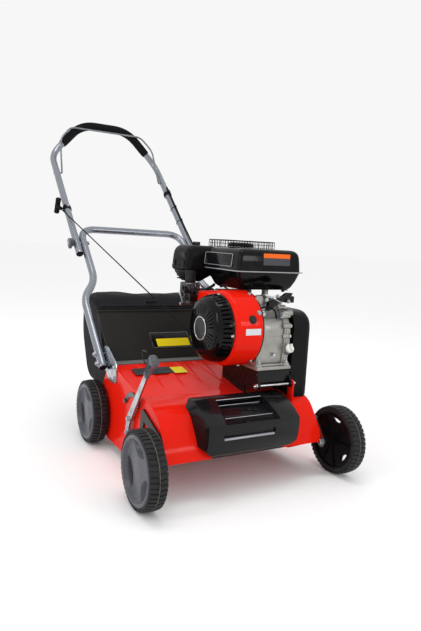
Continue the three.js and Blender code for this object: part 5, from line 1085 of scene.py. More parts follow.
def fan_shroud():
    def shell(bm):
        rings = []
        round_edge = 15
        for k in range(8):
            turn_by = math.radians(90 * k / 7)
            x = SHROUD_FRONT + round_edge * (1 - math.cos(turn_by)) * 0.9
            rings.append((x, 0.4 + round_edge * 0.86 * (1 - math.sin(turn_by))))
        rings += [(SHROUD_REAR - 4, 0.4), (SHROUD_REAR - 3, 0.0), (SHROUD_REAR, 0.0)]
        loft(bm, [[at(x, a, b) for a, b in shroud_outline(grow)] for x, grow in rings])

    def mouth(bm):
        turn_x(bm, [(-60, 0), (-60, 84), (-10, 84), (-10, 0)], *CRANK, 72)

    def hollow(bm):
        prism(bm, shroud_outline(15), -20, 70)

    def hollow_rear(bm):
        prism(bm, shroud_outline(3), -6, 70)

    piece("fan_shroud_shell", shell, RED, "frame", ["fan_shroud"], edge=0.8, segments=2, angle=30,
          cuts=[mouth, hollow, hollow_rear])

    def swell(bm):
        pairs = [(-23.4, 84.5), (-26.2, 85.2), (-27.2, 87), (-26.6, 89.4), (-24, 91.2), (-22.6, 92),
                 (-22, 84.5)]
        turn_x(bm, pairs + [pairs[0]], *CRANK, 96)

    piece("fan_shroud_lip", swell, RED, "frame")

    def plug(bm):
        angle = math.radians(160)
        run = at(0, math.cos(angle), math.sin(angle))
        spot = at(26, *CRANK) + run * (SHROUD_RADIUS - 0.8)
        turn(bm, [(0, 0), (0, 11.5), (1.8, 11.5), (3.2, 9), (3.9, 5), (4.0, 0)], spot, run, 32)

    piece("shroud_plug", plug, RUBBER, "frame")

    def label(bm):
        y0, z0 = CRANK
        rings = []
        for depth in (104.15, 104.5):
            rings.append([])
            for x, degrees in ((3, 182.6), (3, 173.4), (50, 173.4), (50, 182.6)):
                angle = math.radians(degrees)
                rings[-1].append(at(x, y0 + depth * math.cos(angle), z0 + depth * math.sin(angle)))
        loft(bm, rings)

    piece("shroud_bare_label", label, LABEL, "frame")

    def screws(bm):
        y0, z0 = CRANK
        for degrees in (112, 150, 232, 268):
            angle = math.radians(degrees)
            spot = at(SHROUD_REAR - 8, y0 + 104 * math.cos(angle), z0 + 104 * math.sin(angle))
            hexagon(bm, spot, (0, math.cos(angle), math.sin(angle)), 4.6, 4, 6.4)

    piece("shroud_screws", screws, ZINC, "frame")


fan_shroud()


def starter_housing():
    y0, z0 = CRANK
    back = SHROUD_FRONT - 0.3
    front = back - HOUSING_DEPTH
    slots = 46
    front_slots = 36

    def shell(bm):
        outside = through([(back - 5, 92.4), (back - 16, 91.4), (back - 28, 88.6), (back - 37, 84),
                           (back - 44, 76.5), (back - 48.4, 66), (back - 50.4, 51), (back - 51, 38)], 4)
        outside = ([(back, HOUSING_RADIUS), (back - 4, HOUSING_RADIUS)] + outside
                   + [(front + 0.6, 34.5), (front, 33), (front, 0)])
        inside = [(front + 3, 0), (front + 3, 31), (back - 47.6, 38), (back - 47, 50), (back - 45, 64),
                  (back - 41, 73.5), (back - 34, 81), (back - 26, 85.4), (back - 14, 88), (back, 89.4)]
        turn_x(bm, outside + inside + [outside[0]], y0, z0, 144)

    def openings(bm):
        cuts = [(360 * i / slots + 4, (back - 19, 0, 84), (25, 4.6, 40, 1)) for i in range(slots)]
        cuts += [(360 * i / front_slots, (front + 6, 0, 53), (34, 3.2, 26, 1))
                 for i in range(front_slots) if i % 12 not in (3, 9) and not 16 < i < 20]
        for angle, spot, size in cuts:
            turned = Matrix.Translation(at(0, y0, z0)) @ Matrix.Rotation(math.radians(angle), 4, "X")
            bpy.ops.mesh.primitive_cube_add(size=1, calc_uvs=False)
            move_new(bm, turned @ Matrix.Translation(spot) @ Matrix.Diagonal(size))

    piece("starter_shell", shell, GLOSS, "frame", ["starter_housing"], edge=0.5, segments=2, angle=30,
          cuts=[openings])

    def ring(bm):
        turn_x(bm, [(front + 0.2, 29), (front - 0.9, 29.4), (front - 1.1, 31), (front - 0.9, 32.4),
                    (front + 0.2, 32.8), (front + 0.2, 29)], y0, z0, 72)

    piece("starter_ring", ring, BRIGHT, "frame")

    def disc(bm):
        turn_x(bm, [(front + 0.3, 0), (front - 0.3, 0), (front - 0.3, 28.2), (front + 0.3, 28.8),
                    (front + 0.3, 0)], y0, z0, 64)

    piece("starter_bare_disc", disc, PLATE, "frame")

    def screws(bm):
        for degrees in (95, 185, 305):
            angle = math.radians(degrees)
            spot = at(back - 4, y0 + 88.5 * math.cos(angle), z0 + 88.5 * math.sin(angle))
            turn(bm, [(0, 0), (0, 7.4), (-1.4, 7.4), (-1.6, 4.8), (-5.2, 4.6), (-6.4, 3.2), (-6.4, 0)],
                 spot, (1, 0, 0), 24)

    piece("starter_screws", screws, BRIGHT, "frame")

    def eyelet(bm):
        run = rope_run()
        outlet = rope_outlet()
        turn(bm, [(-4, 2.6), (-4, 7), (5, 7), (6.6, 5.6), (6.6, 2.6), (-4, 2.6)], outlet, run, 32)

    piece("starter_eyelet", eyelet, BLACK, "frame")


def rope_guide_spot():
    return along_handle(-(UPPER_HALF + TUBE_RADIUS + ROPE_RADIUS * 6), GUIDE_REACH)


def rope_outlet():
    y, z = CRANK
    return at(SHROUD_FRONT - HOUSING_DEPTH * 0.55, y + HOUSING_RADIUS * 0.86, z - HOUSING_RADIUS * 0.36)


def rope_run():
    return (rope_guide_spot() - rope_outlet()).normalized()


starter_housing()


def fuel_tank():
    plan = softened([(15, 322), (15, 130), (235, 130), (235, 322)], 14, 7)

    def lower(bm):
        steps = [(498, 35), (498.6, 31), (501, 26.5), (506, 22), (514, 18), (526, 12.5), (540, 8),
                 (548.4, 5.4), (549.4, 5)]
        levels(bm, plan, steps)

    piece("tank_lower", lower, GLOSS, "frame", ["fuel_tank"], angle=50)

    def upper(bm):
        steps = [(550.6, 5), (552, 5.2), (575, 6.6), (592, 8.4), (600, 10.6), (605.5, 14), (609.5, 19),
                 (611.6, 25), (612, 31)]
        levels(bm, plan, steps)
        turn(bm, [(0, 0), (0, 33), (1.2, 33), (2, 31.6), (2, 0)], at(*FUEL_CAP, 611.4), (0, 0, 1), 64)

    piece("tank_upper", upper, GLOSS, "frame", angle=50)

    def seam(bm):
        levels(bm, plan, [(548.9, 7), (548.7, 1), (548.5, -1.4), (549, -1.9), (551, -1.9), (551.5, -1.4),
                          (551.3, 1), (551.0, 7)])

    piece("tank_seam", seam, TRIM, "frame")

    def left_plate(bm):
        box(19.6, 21.6, 179, 320, 563, 592, 0.5, 2)

    piece("tank_bare_plate", left_plate, PLATE, "frame")

    def left_frame(bm):
        path = [at(19.9 + (b - 577) * 0.09, a, b)
                for a, b in softened(rectangle(174, 326, 560.5, 594.5), 3, 3)]
        sweep(bm, path, 1.2, 8, closed=True)

    piece("tank_plate_frame", left_frame, TRIM, "frame")

    def front_label(z0, z1):
        def build(bm):
            lean = 0.045
            rings = []
            for out in (0.0, 0.5):
                rings.append([at(a, 130 + 6.3 - out + (b - 560) * lean, b)
                              for a, b in rectangle(99, 189, z0, z1)])
            loft(bm, rings)
        return build

    piece("tank_label_orange", front_label(588.4, 600.5), ORANGE, "frame")
    piece("tank_label_grey", front_label(568.5, 588),
          shader("grey_label", (0.06, 0.06, 0.07), 0.35, bump=0.02, specular=0.2), "frame")

    def cap(bm):
        cap_x, cap_y = FUEL_CAP
        base = 614.3
        lobes = 7
        heights = [(base, 37.4, 4.5), (base + 1.4, 38, 4.6), (base + 7, 38, 4.6), (base + 9.6, 36.6, 4),
                   (base + 11.6, 33, 2), (base + 12.9, 27, 0.5)]
        rings = []
        for height, radius, deep in heights:
            rings.append([])
            for k in range(168):
                angle = 2 * math.pi * k / 168
                dip = deep * max(0.0, math.cos(lobes * angle)) ** 3
                rings[-1].append(at(cap_x + (radius - dip) * math.cos(angle),
                                    cap_y + (radius - dip) * math.sin(angle), height))
        loft(bm, rings)

    piece("fuel_cap_moulding", cap, BLACK, "cap", ["fuel_cap"], angle=40)

    def brackets(bm):
        for x, y in ((62, 160), (196, 160), (62, 284), (196, 284)):
            box(x - 9, x + 9, y - 2, y + 18, 497.2, 499.2, 0.6)
            hexagon(bm, at(x, y + 10, 497.3), (0, 0, -1), 5, 4, 7)

    piece("tank_feet", brackets, STEEL_BLACK, "frame")


fuel_tank()


def air_cleaner():
    x0, x1, y0, y1 = -38, 78, 326, 445
    plan = softened(rectangle(x0, x1, y0, y1), 20, 8)
    middle = Vector(((x0 + x1) / 2, (y0 + y1) / 2))

    def cover(bm):
        steps = [(550.6, 2.6), (551.2, 1.4), (553, 1.2), (580, 3.2), (592, 5), (600, 8), (606, 12.4),
                 (610, 18), (611.8, 24)]
        levels(bm, plan, steps)

    piece("cleaner_cover", cover, BLACK, "frame", ["air_cleaner"], angle=40)

    def tray(bm):
        steps = [(536, 7), (536.4, 4), (539, 1.6), (545, 0.4), (549, 0), (550, 0.4), (550, 3)]
        levels(bm, plan, steps)

    piece("cleaner_tray", tray, BLACK, "frame", angle=40)

    def duct(bm):
        steps = [(537, -31, 66, 332, 436), (528, -30, 58, 334, 430), (514, -27, 34, 340, 410),
                 (505, -24, 20, 344, 396)]
        loft(bm, [[at(a, b, z) for a, b in softened(rectangle(a0, a1, b0, b1), 10, 5)]
                  for z, a0, a1, b0, b1 in steps])
        for z in (511, 519, 527):
            box(-33.5, -27, 352, 404, z - 1.6, z + 1.6, 1)

    piece("cleaner_duct", duct, BLACK, "frame")

    def latches(bm):
        for y in (356, 416):
            box(x0 - 0.4, x0 + 3, y - 7, y + 7, 541, 566, 1)

    piece("cleaner_latches", latches, BLACK, "frame")

    def nut(bm):
        centre = at(middle.x, middle.y, 611)
        turn(bm, [(0, 0), (0, 11), (2, 11), (3, 8), (9, 7), (9, 0)], centre, (0, 0, 1), 32)
        box(middle.x - 12, middle.x + 12, middle.y - 1.6, middle.y + 1.6, 613, 622.6, 0.8)

    piece("cleaner_wing_nut", nut, STEEL_BLACK, "frame")

    def elbow(bm):
        path = rounded_path([at(*CARBURETTOR, 504.2), at(*CARBURETTOR, 520), at(*CARBURETTOR, 539)], 6)
        sweep(bm, resample(path, 4), 15.4, 32)
        for z in (507, 532):
            turn(bm, [(-1.5, 15), (-1.5, 16.8), (1.5, 16.8), (1.5, 15), (-1.5, 15)],
                 at(*CARBURETTOR, z), (0, 0, 1), 40)

    piece("cleaner_elbow", elbow, RUBBER, "frame")

    def plate(bm):
        box(x0 + 2.2, x0 + 3.8, 350, 400, 573, 590, 0.4, 1)

    piece("cleaner_bare_plate", plate, PLATE, "frame")


air_cleaner()


def carburettor():
    def body(bm):
        box(-44, 2, 314, 358, 462, 503, 3.5)
        turn(bm, [(0, 0), (0, 12.4), (1.5, 17.6), (5, 20.4), (18, 20.6), (23, 20.4), (23, 0)],
             at(*CARBURETTOR, 437), (0, 0, 1), 40)
        turn(bm, [(0, 0), (0, 5), (6, 5), (6, 0)], at(*CARBURETTOR, 435.6), (0, 0, 1), 6)
        sweep(bm, [at(0, 336, 472), at(58, 336, 472)], 13.8, 32)
        box(58, 63.6, 314, 348, 456, 482, 3)
        box(-30, -12, 308, 316, 470, 496, 2)

    dull = shader("dull_alloy", (0.10, 0.10, 0.10), 0.4, metallic=0.6, second=(0.05, 0.05, 0.052),
                  mottle=45, mottle_amount=0.8, bump=0.3, bump_scale=420, bump_depth=0.0004)
    piece("carburettor_body", body, dull, "frame", ["carburettor"], edge=0.6)

    def fittings(bm):
        for x, z in ((-38, 498), (-6, 498), (-38, 467), (-6, 467)):
            hexagon(bm, at(x, 314.4, z), (0, -1, 0), 3.4, 3, 4.6)
        for z in (465, 477):
            hexagon(bm, at(-44.2, 322, z + 14), (-1, 0, 0), 2.6, 2.4)
        sweep(bm, [at(-21, 309, 478), at(-21, 300, 478)], 3, 16)
        coil = [at(-36 + 0.55 * k, 306 + 3 * math.cos(k * 0.9), 489 + 3 * math.sin(k * 0.9))
                for k in range(60)]
        sweep(bm, coil, 0.5, 6)
        box(-52, -4, 300, 303, 500, 502, 0.5)
        box(-24, -21.5, 296, 330, 488, 500, 0.5)

    piece("carburettor_fittings", fittings, ZINC, "frame")

    def hose(bm):
        path = rounded_path([at(-21, 300, 478), at(-21, 286, 478), at(2, 280, 486), at(34, 290, 499),
                             at(34, 290, 504)], 12)
        sweep(bm, resample(path, 3), 4, 16)

    piece("fuel_hose", hose, RUBBER, "frame")

    def bracket(bm):
        box(-46, -43.8, 286, 318, 452, 500, 0.6)
        box(-46, 10, 284.5, 287, 452, 470, 0.6)

    piece("control_bracket", bracket, STEEL_BLACK, "frame")


carburettor()


def control_lever(name, body, node, y, z, degrees, length, finish):
    face = -45

    def build(bm):
        angle = math.radians(degrees)
        along = Vector((math.cos(angle), math.sin(angle)))
        across = Vector((-along.y, along.x))
        heel = Vector((y, z)) - along * 6
        tip = Vector((y, z)) + along * length
        turn_x(bm, [(face - 0.3, 0), (face - 0.3, 5), (face - 6, 5), (face - 6.6, 3.4), (face - 6.6, 0)],
               y, z, 28)
        corners = [heel + across * 6.4, heel - across * 6.4, tip - across * 4.6, tip + across * 4.6]
        outline = softened(corners, [6, 6, 4, 4], 5)
        prism(bm, outline, face - 5.2, face - 3.4)
        turn_x(bm, [(face - 3.3, 0), (face - 3.3, 4), (face - 6, 3.4), (face - 11.5, 5), (face - 13.2, 4),
                    (face - 13.2, 0)], tip.x, tip.y, 28)

    piece(name, build, finish, body, [node], edge=0.4)


control_lever("choke_moulding", "choke", "choke_lever", 325.9, 488.2, 200, 30, BLACK)
control_lever("throttle_plate", "throttle", "throttle_lever", 344.2, 467.9, 235, 34, ZINC)


def silencer():
    x0, x1, y0, y1, z0, z1 = 100, 255, 330, 424, 506, 598
    plan = softened(rectangle(x0, x1, y0, y1), 22, 8)
    middle = Vector(((x0 + x1) / 2, (y0 + y1) / 2))

    def shell(bm):
        steps = [(z0, 14), (z0 + 2, 8), (z0 + 6, 3), (z0 + 12, 0.6), (550.6, 0), (551, -0.2), (553, -0.2),
                 (553.4, 0), (z1 - 12, 0.6), (z1 - 6, 3), (z1 - 2, 8), (z1, 15)]
        levels(bm, plan, steps)

    def outlet(bm):
        turn(bm, [(0, 0), (0, 8.6), (60, 8.6), (60, 0)], at(middle.x, middle.y, 552), (0, 1, 0), 28)

    heat = shader("silencer_steel", (0.035, 0.033, 0.032), 0.42, metallic=0.7, second=(0.07, 0.055, 0.045),
                  mottle=22, bump=0.15, bump_scale=400)
    piece("silencer_shell", shell, heat, "frame", ["silencer"], angle=35, cuts=[outlet])

    def pipe(bm):
        path = rounded_path([at(152.4, 336, 471), at(186, 336, 471), at(186, 350, 518)], 24)
        sweep(bm, resample(path, 5), 12.8, 28)
        turn_x(bm, [(152.4, 0), (152.4, 19), (157, 19), (157, 0)], 336, 471, 28)

    piece("exhaust_pipe", pipe, heat, "frame")

    pitch = 31 / 3
    left, right = x0 - 15.5, x1 + 15.5
    front, rear = y0 - 3.3, y1 + 3.3
    top, low = 634, 590

    def wires(bm):
        thin = 0.95
        edge = 1.5

        def wire(a, b, radius=thin):
            sweep(bm, [a, b], radius, 6)

        def frange(a, b):
            count = max(1, round((b - a) / pitch))
            return [a + (b - a) * k / count for k in range(count + 1)]

        lx, rx, fy, ry = left + edge, right - edge, front + edge, rear - edge
        for x in frange(lx, rx):
            wire(at(x, fy, low + 1), at(x, fy, top - 1))
            wire(at(x, ry, low + 1), at(x, ry, top - 1))
            wire(at(x, fy, top - 1.6), at(x, ry, top - 1.6))
        for y in frange(fy, ry):
            wire(at(lx, y, low + 1), at(lx, y, top - 1))
            wire(at(rx, y, low + 1), at(rx, y, top - 1))
            wire(at(lx, y, top - 2.6), at(rx, y, top - 2.6))
        for z in frange(low + 1.5, top - 1.5):
            size = 1.5 if z in (low + 1.5, top - 1.5) else thin
            loop = softened(rectangle(lx, rx, fy, ry), 4, 3)
            sweep(bm, [at(a, b, z) for a, b in loop], size, 6, closed=True)
        for k in (1, 5):
            x = left + 31 * k + 1.5
            sweep(bm, [at(x, front + 3, 598), at(x, front + 3, top - 2)], 1.4, 8)
            sweep(bm, [at(x, front + 16, 598), at(x, front + 3, 603)], 1.4, 8)

    piece("guard_wires", wires, STEEL_BLACK, "frame", ["silencer_guard"])


silencer()


def crankcase():
    y0, z0 = CRANK
    half = 79
    base = 286
    corners = [
        (y0 - half * 0.9, base + 6), (y0 + half, base + 6), (y0 + half, z0 + half * 0.4),
        (y0 + half * 0.4, z0 + half), (y0 - half * 0.4, z0 + half * 0.9), (y0 - half, z0 + half * 0.2),
        (y0 - half, z0 - 54),
    ]
    outline = softened(corners, 20, 5)
    cover = [(y0 + (a - y0) * 1.055, z0 + (b - z0) * (1.055 if b > z0 else 1.0)) for a, b in outline]

    def core(bm):
        prism(bm, outline, 61, 143)
        prism(bm, cover, 142, 147.4)
        prism(bm, cover, 148, 155)
        prism(bm, inset(outline, 3), 154, 168)
        turn_x(bm, [(166, 0), (166, 34), (172, 32), (175.6, 30), (175.6, 10.6), (166, 10.6)], y0, z0, 48)
        box(77, 141, 150, 243, 396, 437, 5)

    piece("crankcase_casting", core, CAST, "frame", ["crankcase"], edge=1.6, segments=3)

    def back(bm):
        prism(bm, shroud_outline(1), 57.5, 61.5)

    piece("crankcase_back_plate", back, STEEL_BLACK, "frame")

    def foot(bm):
        box(59, 171, 75, 245, base, base + 11, 2.4)
        box(66, 164, 82, 240, base + 10, base + 17, 3)
        for x, y in CRANKCASE_FEET:
            turn(bm, [(9, 0), (9, 11), (17, 10), (17, 0)], at(x, y, base), (0, 0, 1), 28)

    piece("crankcase_foot", foot, CAST, "frame", edge=0.8)

    def feet_bolts(bm):
        for x, y in CRANKCASE_FEET:
            hexagon(bm, at(x, y, base + 17), (0, 0, 1), 6.6, 6, 9)
            sweep(bm, [at(x, y, base + 22), at(x, y, base + 30)], 3.4, 16)

    piece("crankcase_feet_bolts", feet_bolts, ZINC, "frame")

    def ring_spots():
        spots = []
        for degrees in (126, 148, 170, 192, 220, 24, 340, 300):
            angle = math.radians(degrees)
            spots.append((y0 + half * 1.0 * math.cos(angle) * (1.0 if abs(math.cos(angle)) > 0.5 else 0.98),
                          z0 + half * 0.94 * math.sin(angle)))
        return spots

    def bosses(bm):
        for y, z in ring_spots():
            turn_x(bm, [(138, 0), (138, 6), (142, 8.2), (160, 7.8), (161, 7), (161, 0)], y, z, 28)

    piece("crankcase_bosses", bosses, CAST, "frame", edge=0.6)

    def bolts(bm):
        for y, z in ring_spots():
            hexagon(bm, at(161, y, z), (1, 0, 0), 5.6, 5, 7.6)
            sweep(bm, [at(165.5, y, z), at(169, y, z)], 2.9, 14)

    piece("crankcase_bolts", bolts, BRIGHT, "frame")

    def governor(bm):
        turn(bm, [(0, 0), (0, 12), (20, 12), (23, 9), (27, 9), (27, 0)], at(68, 104, 462), (0, -0.1, 1), 32)
        turn(bm, [(0, 0), (0, 13), (3, 13), (5, 10), (16, 9.6), (16, 0)], at(84, 138, 468), (0, 0, 1), 32)
        sweep(bm, [at(150, 194, 470), at(150, 194, 497)], 9.6, 28)
        turn_x(bm, [(140, 0), (140, 8), (172, 8), (174, 6), (174, 0)], 92, 441, 28)
        box(78, 140, 80.4, 84, 378, 381.4, 1.4)

    piece("crankcase_details", governor, CAST, "frame", edge=0.6)

    def small_parts(bm):
        for y, z, x in ((84, 328, 112), (88, 440, 74), (86, 436, 136)):
            hexagon(bm, at(x, y, z), (0, -1, 0), 6, 6, 8)
        path = rounded_path([at(84, 128, 486), at(84, 96, 492), at(110, 80, 478), at(132, 84, 470)], 14)
        sweep(bm, resample(path, 4), 1.6, 10)
        coil = [at(96 + 0.7 * k, 92 + 2.6 * math.cos(k * 0.9), 486 + 2.6 * math.sin(k * 0.9))
                for k in range(56)]
        sweep(bm, coil, 0.5, 6)
        for x, z in ((88, 478), (124, 487), (152, 474)):
            hexagon(bm, at(x, 95.6 if x < 130 else 83.6, z), (0, -1, 0), 4.2, 4, 5.6)

    piece("governor_parts", small_parts, ZINC, "frame")

    def control_bracket(bm):
        for y in (87, 97):
            outline = [(86, 447), (100, 451), (124, 470), (158, 478), (168, 497), (150, 497), (130, 484),
                       (92, 470)]
            prism(bm, outline, y - 1.2, y + 1.2, "y")
        box(90, 132, 86, 99, 468, 471, 0.8)
        box(146, 176, 88, 104, 470, 488, 2)

    piece("engine_black_bracket", control_bracket, STEEL_BLACK, "frame", edge=0.5)

    def neck(bm):
        start, run = dipstick_line()
        turn(bm, [(-16, 0), (-16, 13), (-2, 12.2), (-0.4, 11), (-0.4, 7), (-16, 7)], start, run, 32)

    piece("oil_neck", neck, CAST, "frame")

    def wire(bm):
        path = rounded_path([at(60, 96, 452), at(76, 78, 462), at(100, 80, 456), at(118, 90, 444),
                             at(128, 98, 420)], 14)
        sweep(bm, resample(path, 4), 2.4, 12)

    piece("engine_wire", wire, CORD, "frame")


def dipstick_line():
    slant = math.radians(28)
    run = at(0, -math.cos(slant), math.sin(slant))
    start = at(168 - 12, CRANK[0] - 79 * 0.98 - 12, CRANK[1] - 79 * 0.62)
    return start, run


crankcase()


def dipstick():
    start, run = dipstick_line()

    def head(bm):
        turn(bm, [(-31, 0), (-31, 4), (-30, 5.8), (-1, 6), (0.3, 6), (0.3, 12), (1, 12.4), (6.6, 12.4),
                  (8, 11), (8.6, 9), (8.6, 0)], start, run, 40)
        centre = start + run * 13.4
        side = run.cross(at(1, 0, 0)).normalized()
        rings = []
        for shift in (-2.2, 2.2):
            ring = []
            for a, b in softened([(-11, -6), (11, -6), (8.6, 7), (3, 3), (-3, 3), (-8.6, 7)], 2.6, 4):
                ring.append(centre + at(shift, 0, 0) + side * a + run * b * 0.9)
            rings.append(ring)
        loft(bm, rings)

    piece("dipstick_head", head, WHITE, "oil_stick", ["dipstick"], edge=0.5)


dipstick()


def cylinder():
    tilt = Matrix.Translation(at(108, *CRANK)) @ Matrix.Rotation(math.radians(18), 4, "X")

    def local(bm, x0, x1, d0, d1, z0, z1, bevel=0.0):
        box(x0, x1, d0, d1, z0, z1, bevel)
        bpy.ops.mesh.select_linked()
        move_new(bm, tilt)

    def fins(bm):
        for i in range(11):
            d = 86 + 7.2 * i
            local(bm, -43.6, 43.6, d, d + 2.2, -36.6, 36.6, 0.8)
        local(bm, -31, 31, 81, 166, -28, 28, 2)
        local(bm, -42, 42, 166, 190, -35, 35, 3)

    def clear(bm):
        top = [(60, 280), (244.5, 280), (244.5, 497), (60, 497)]
        prism(bm, top, 40, 168)

    piece("cylinder_fins", fins, CAST, "frame", ["cylinder_head"], cuts=[clear])

    def valve_cover(bm):
        local(bm, -35, 35, 190.5, 207, -29, 29, 5)

    piece("valve_cover", valve_cover, STEEL_BLACK, "frame")

    def bolts(bm):
        for x in (-30, 30):
            for z in (-24, 24):
                hexagon(bm, tilt @ at(x * 0.95, 207, z * 0.9), tilt.to_3x3() @ at(0, 1, 0), 4.6, 4, 6)

    piece("valve_cover_bolts", bolts, ZINC, "frame")

    def plug(bm):
        base = tilt @ at(-30, 186, -12)
        path = rounded_path([base, base + at(-14, 6, 6), base + at(-26, -6, 20), base + at(-34, -60, 26)],
                            12)
        sweep(bm, resample(path, 4), 3, 14)
        turn(bm, [(0, 0), (0, 7), (22, 7.6), (26, 6), (26, 0)], base, at(-14, 6, 6), 24)

    piece("spark_plug_cap", plug, RUBBER, "frame")


cylinder()


# Handle

def lower_path():
    def half(side):
        return [along_handle(side * LOWER_HALF, 0), along_handle(side * LOWER_HALF, 278),
                along_handle(side * LOWER_TOP_HALF, 350), along_handle(side * LOWER_TOP_HALF, 606)]
    return rounded_path(half(-1) + list(reversed(half(1))), 60, 12)


def upper_corners():
    def half(side):
        return [along_handle(side * UPPER_HALF, UPPER_FOOT_REACH), along_handle(side * UPPER_HALF, 1042),
                at(side * 100, 1225, 1073)]
    return half(-1) + list(reversed(half(1)))


def lower_handle():
    def tube(bm):
        sweep(bm, resample(lower_path(), 10), TUBE_RADIUS, 40)

    piece("lower_tubes", tube, TUBE, "frame", ["lower_handle"], edge=0.8)

    def plugs(bm):
        for side in (-1, 1):
            spot = along_handle(side * LOWER_HALF, 0)
            turn(bm, [(-1.4, 0), (-1.4, 10.6), (0.4, 12), (0.4, 0)], spot, HANDLE_RUN, 32)

    piece("tube_plugs", plugs, BLACK, "frame")

    def bolts(bm):
        for side in (-1, 1):
            for reach in (16, 50):
                spot = along_handle(side * (LOWER_HALF + TUBE_RADIUS - 0.6), reach)
                hexagon(bm, spot, (side, 0, 0), 6.4, 5.5, 9.4)
                sweep(bm, [spot, spot + at(side * 8.6, 0, 0)], 3.6, 16)
                inner = along_handle(side * (LOWER_HALF - TUBE_RADIUS * 0.9), reach)
                turn(bm, [(0, 0), (0, 5.4), (2.4, 5), (3.2, 3), (3.2, 0)], inner, (-side, 0, 0), 20)

    piece("handle_foot_bolts", bolts, ZINC, "frame")


def upper_handle():
    bends = [50, 60, 60, 50]

    def tube(bm):
        sweep(bm, resample(rounded_path(upper_corners(), bends, 12), 10), TUBE_RADIUS, 40)

    piece("upper_tube", tube, TUBE, "upper_loop", ["upper_handle"], edge=0.8)

    def ends(bm):
        for side in (-1, 1):
            spot = along_handle(side * UPPER_HALF, UPPER_FOOT_REACH)
            turn(bm, [(-1.6, 0), (-1.6, 10.6), (0.4, 12.4), (0.4, 0)], spot, HANDLE_RUN, 32)

    piece("upper_tube_plugs", ends, BLACK, "upper_loop")

    def foam(bm):
        path = rounded_path(upper_corners(), bends, 12)
        first, last = path[13], path[-14]
        whole = resample(path, 7)
        low = min(range(len(whole)), key=lambda i: (whole[i] - first).length)
        high = min(range(len(whole)), key=lambda i: (whole[i] - last).length)
        stretch = whole[low + 2:high - 1]
        count = len(stretch)
        radii = [16.4 - 1.6 * math.exp(-min(i, count - 1 - i) / 0.9) for i in range(count)]
        sweep(bm, stretch, radii, 36)

    piece("foam_sleeve", foam, FOAM, "upper_loop", ["foam_grip"], angle=60)

    def screws(bm):
        for side in (-1, 1):
            spot = along_handle(side * (UPPER_HALF + TUBE_RADIUS - 0.4), BAIL_REACH)
            turn(bm, [(0, 0), (0, 5.6), (1.4, 5.6), (1.4, 0)], spot, (side, 0, 0), 24)

    piece("bail_washers", screws, ZINC, "upper_loop")


def bail():
    pivot = along_handle(0, BAIL_REACH)
    angle = math.radians(65)
    inside = UPPER_HALF - TUBE_RADIUS - 0.3 - 7

    def raised(share):
        return (pivot.y + 214 * share * math.cos(angle), pivot.z + 214 * share * math.sin(angle))

    def half(side):
        knee, top = raised(0.72), raised(1)
        return [at(side * (UPPER_HALF + TUBE_RADIUS * 0.6), pivot.y, pivot.z),
                at(side * inside, pivot.y, pivot.z), at(side * (inside - 8), *knee), at(side * 150, *top)]

    def wire(bm):
        corners = half(-1) + list(reversed(half(1)))
        path = rounded_path(corners, [4.5, 24, 22, 22, 24, 4.5], 10)
        sweep(bm, resample(path, 6), 3.4, 20)

    piece("bail_wire", wire, WIRE, "bail_body", ["bail"])


lower_handle()
upper_handle()
bail()


def knob(name, body, node, side):
    joint = along_handle(0, FOLD_REACH)
    face = UPPER_HALF + TUBE_RADIUS + 0.3

    def head(bm):
        rings = []
        for along, radius in ((0, 12), (0.6, 13.4), (5, 13.6), (6, 20.6), (6.8, 21), (13.4, 21),
                              (15.2, 19.6), (16, 16)):
            rings.append([])
            for k in range(90):
                angle = 2 * math.pi * k / 90
                deep = 0.3 if radius > 15 else 0.0
                lobe = 1 - deep * (0.5 - 0.5 * math.cos(3 * (angle - math.radians(30))))
                rings[-1].append(at(side * (face + along), joint.y + radius * lobe * math.cos(angle),
                                    joint.z + radius * lobe * math.sin(angle)))
        loft(bm, rings)

    piece(f"{name}_moulding", head, GREY, body, [node], angle=40)

    def bolt(bm):
        end = LOWER_TOP_HALF - TUBE_RADIUS - 6
        sweep(bm, [at(side * (face + 2), joint.y, joint.z), at(side * end, joint.y, joint.z)], 3.9, 20)
        hexagon(bm, at(side * (LOWER_TOP_HALF - TUBE_RADIUS - 0.3), joint.y, joint.z), (-side, 0, 0),
                7.4, 5.7)
        turn_x(bm, [(side * (face + 15.8), 0), (side * (face + 15.8), 5), (side * (face + 16.1), 4.6),
                    (side * (face + 16.1), 0)], joint.y, joint.z, 24)

    piece(f"{name}_bolt", bolt, ZINC, body)


knob("left_knob", "left_knob", "left_handle_knob", -1)
knob("right_knob", "right_knob", "right_handle_knob", 1)


def bend_over(thing):
    """Bakes a cord's placement into its mesh; the cord is fixed to no body."""
    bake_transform(thing)


def starter_cord():
    guide, outlet, run = rope_guide_spot(), rope_outlet(), rope_run()

    def rope(bm):
        start = outlet + run * 6.8
        end = guide + run * 4
        sweep(bm, resample([start, end], 6), ROPE_RADIUS * 0.96, 12)

    cord = piece("starter_cord", rope, CORD, None, ["starter_rope"])
    bend_over(cord)

    def tail(bm):
        sweep(bm, resample([guide - run * 3, guide + run * 12], 3), ROPE_RADIUS * 0.96, 12)

    thing = piece("starter_cord_tail", tail, CORD, None)
    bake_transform(thing)


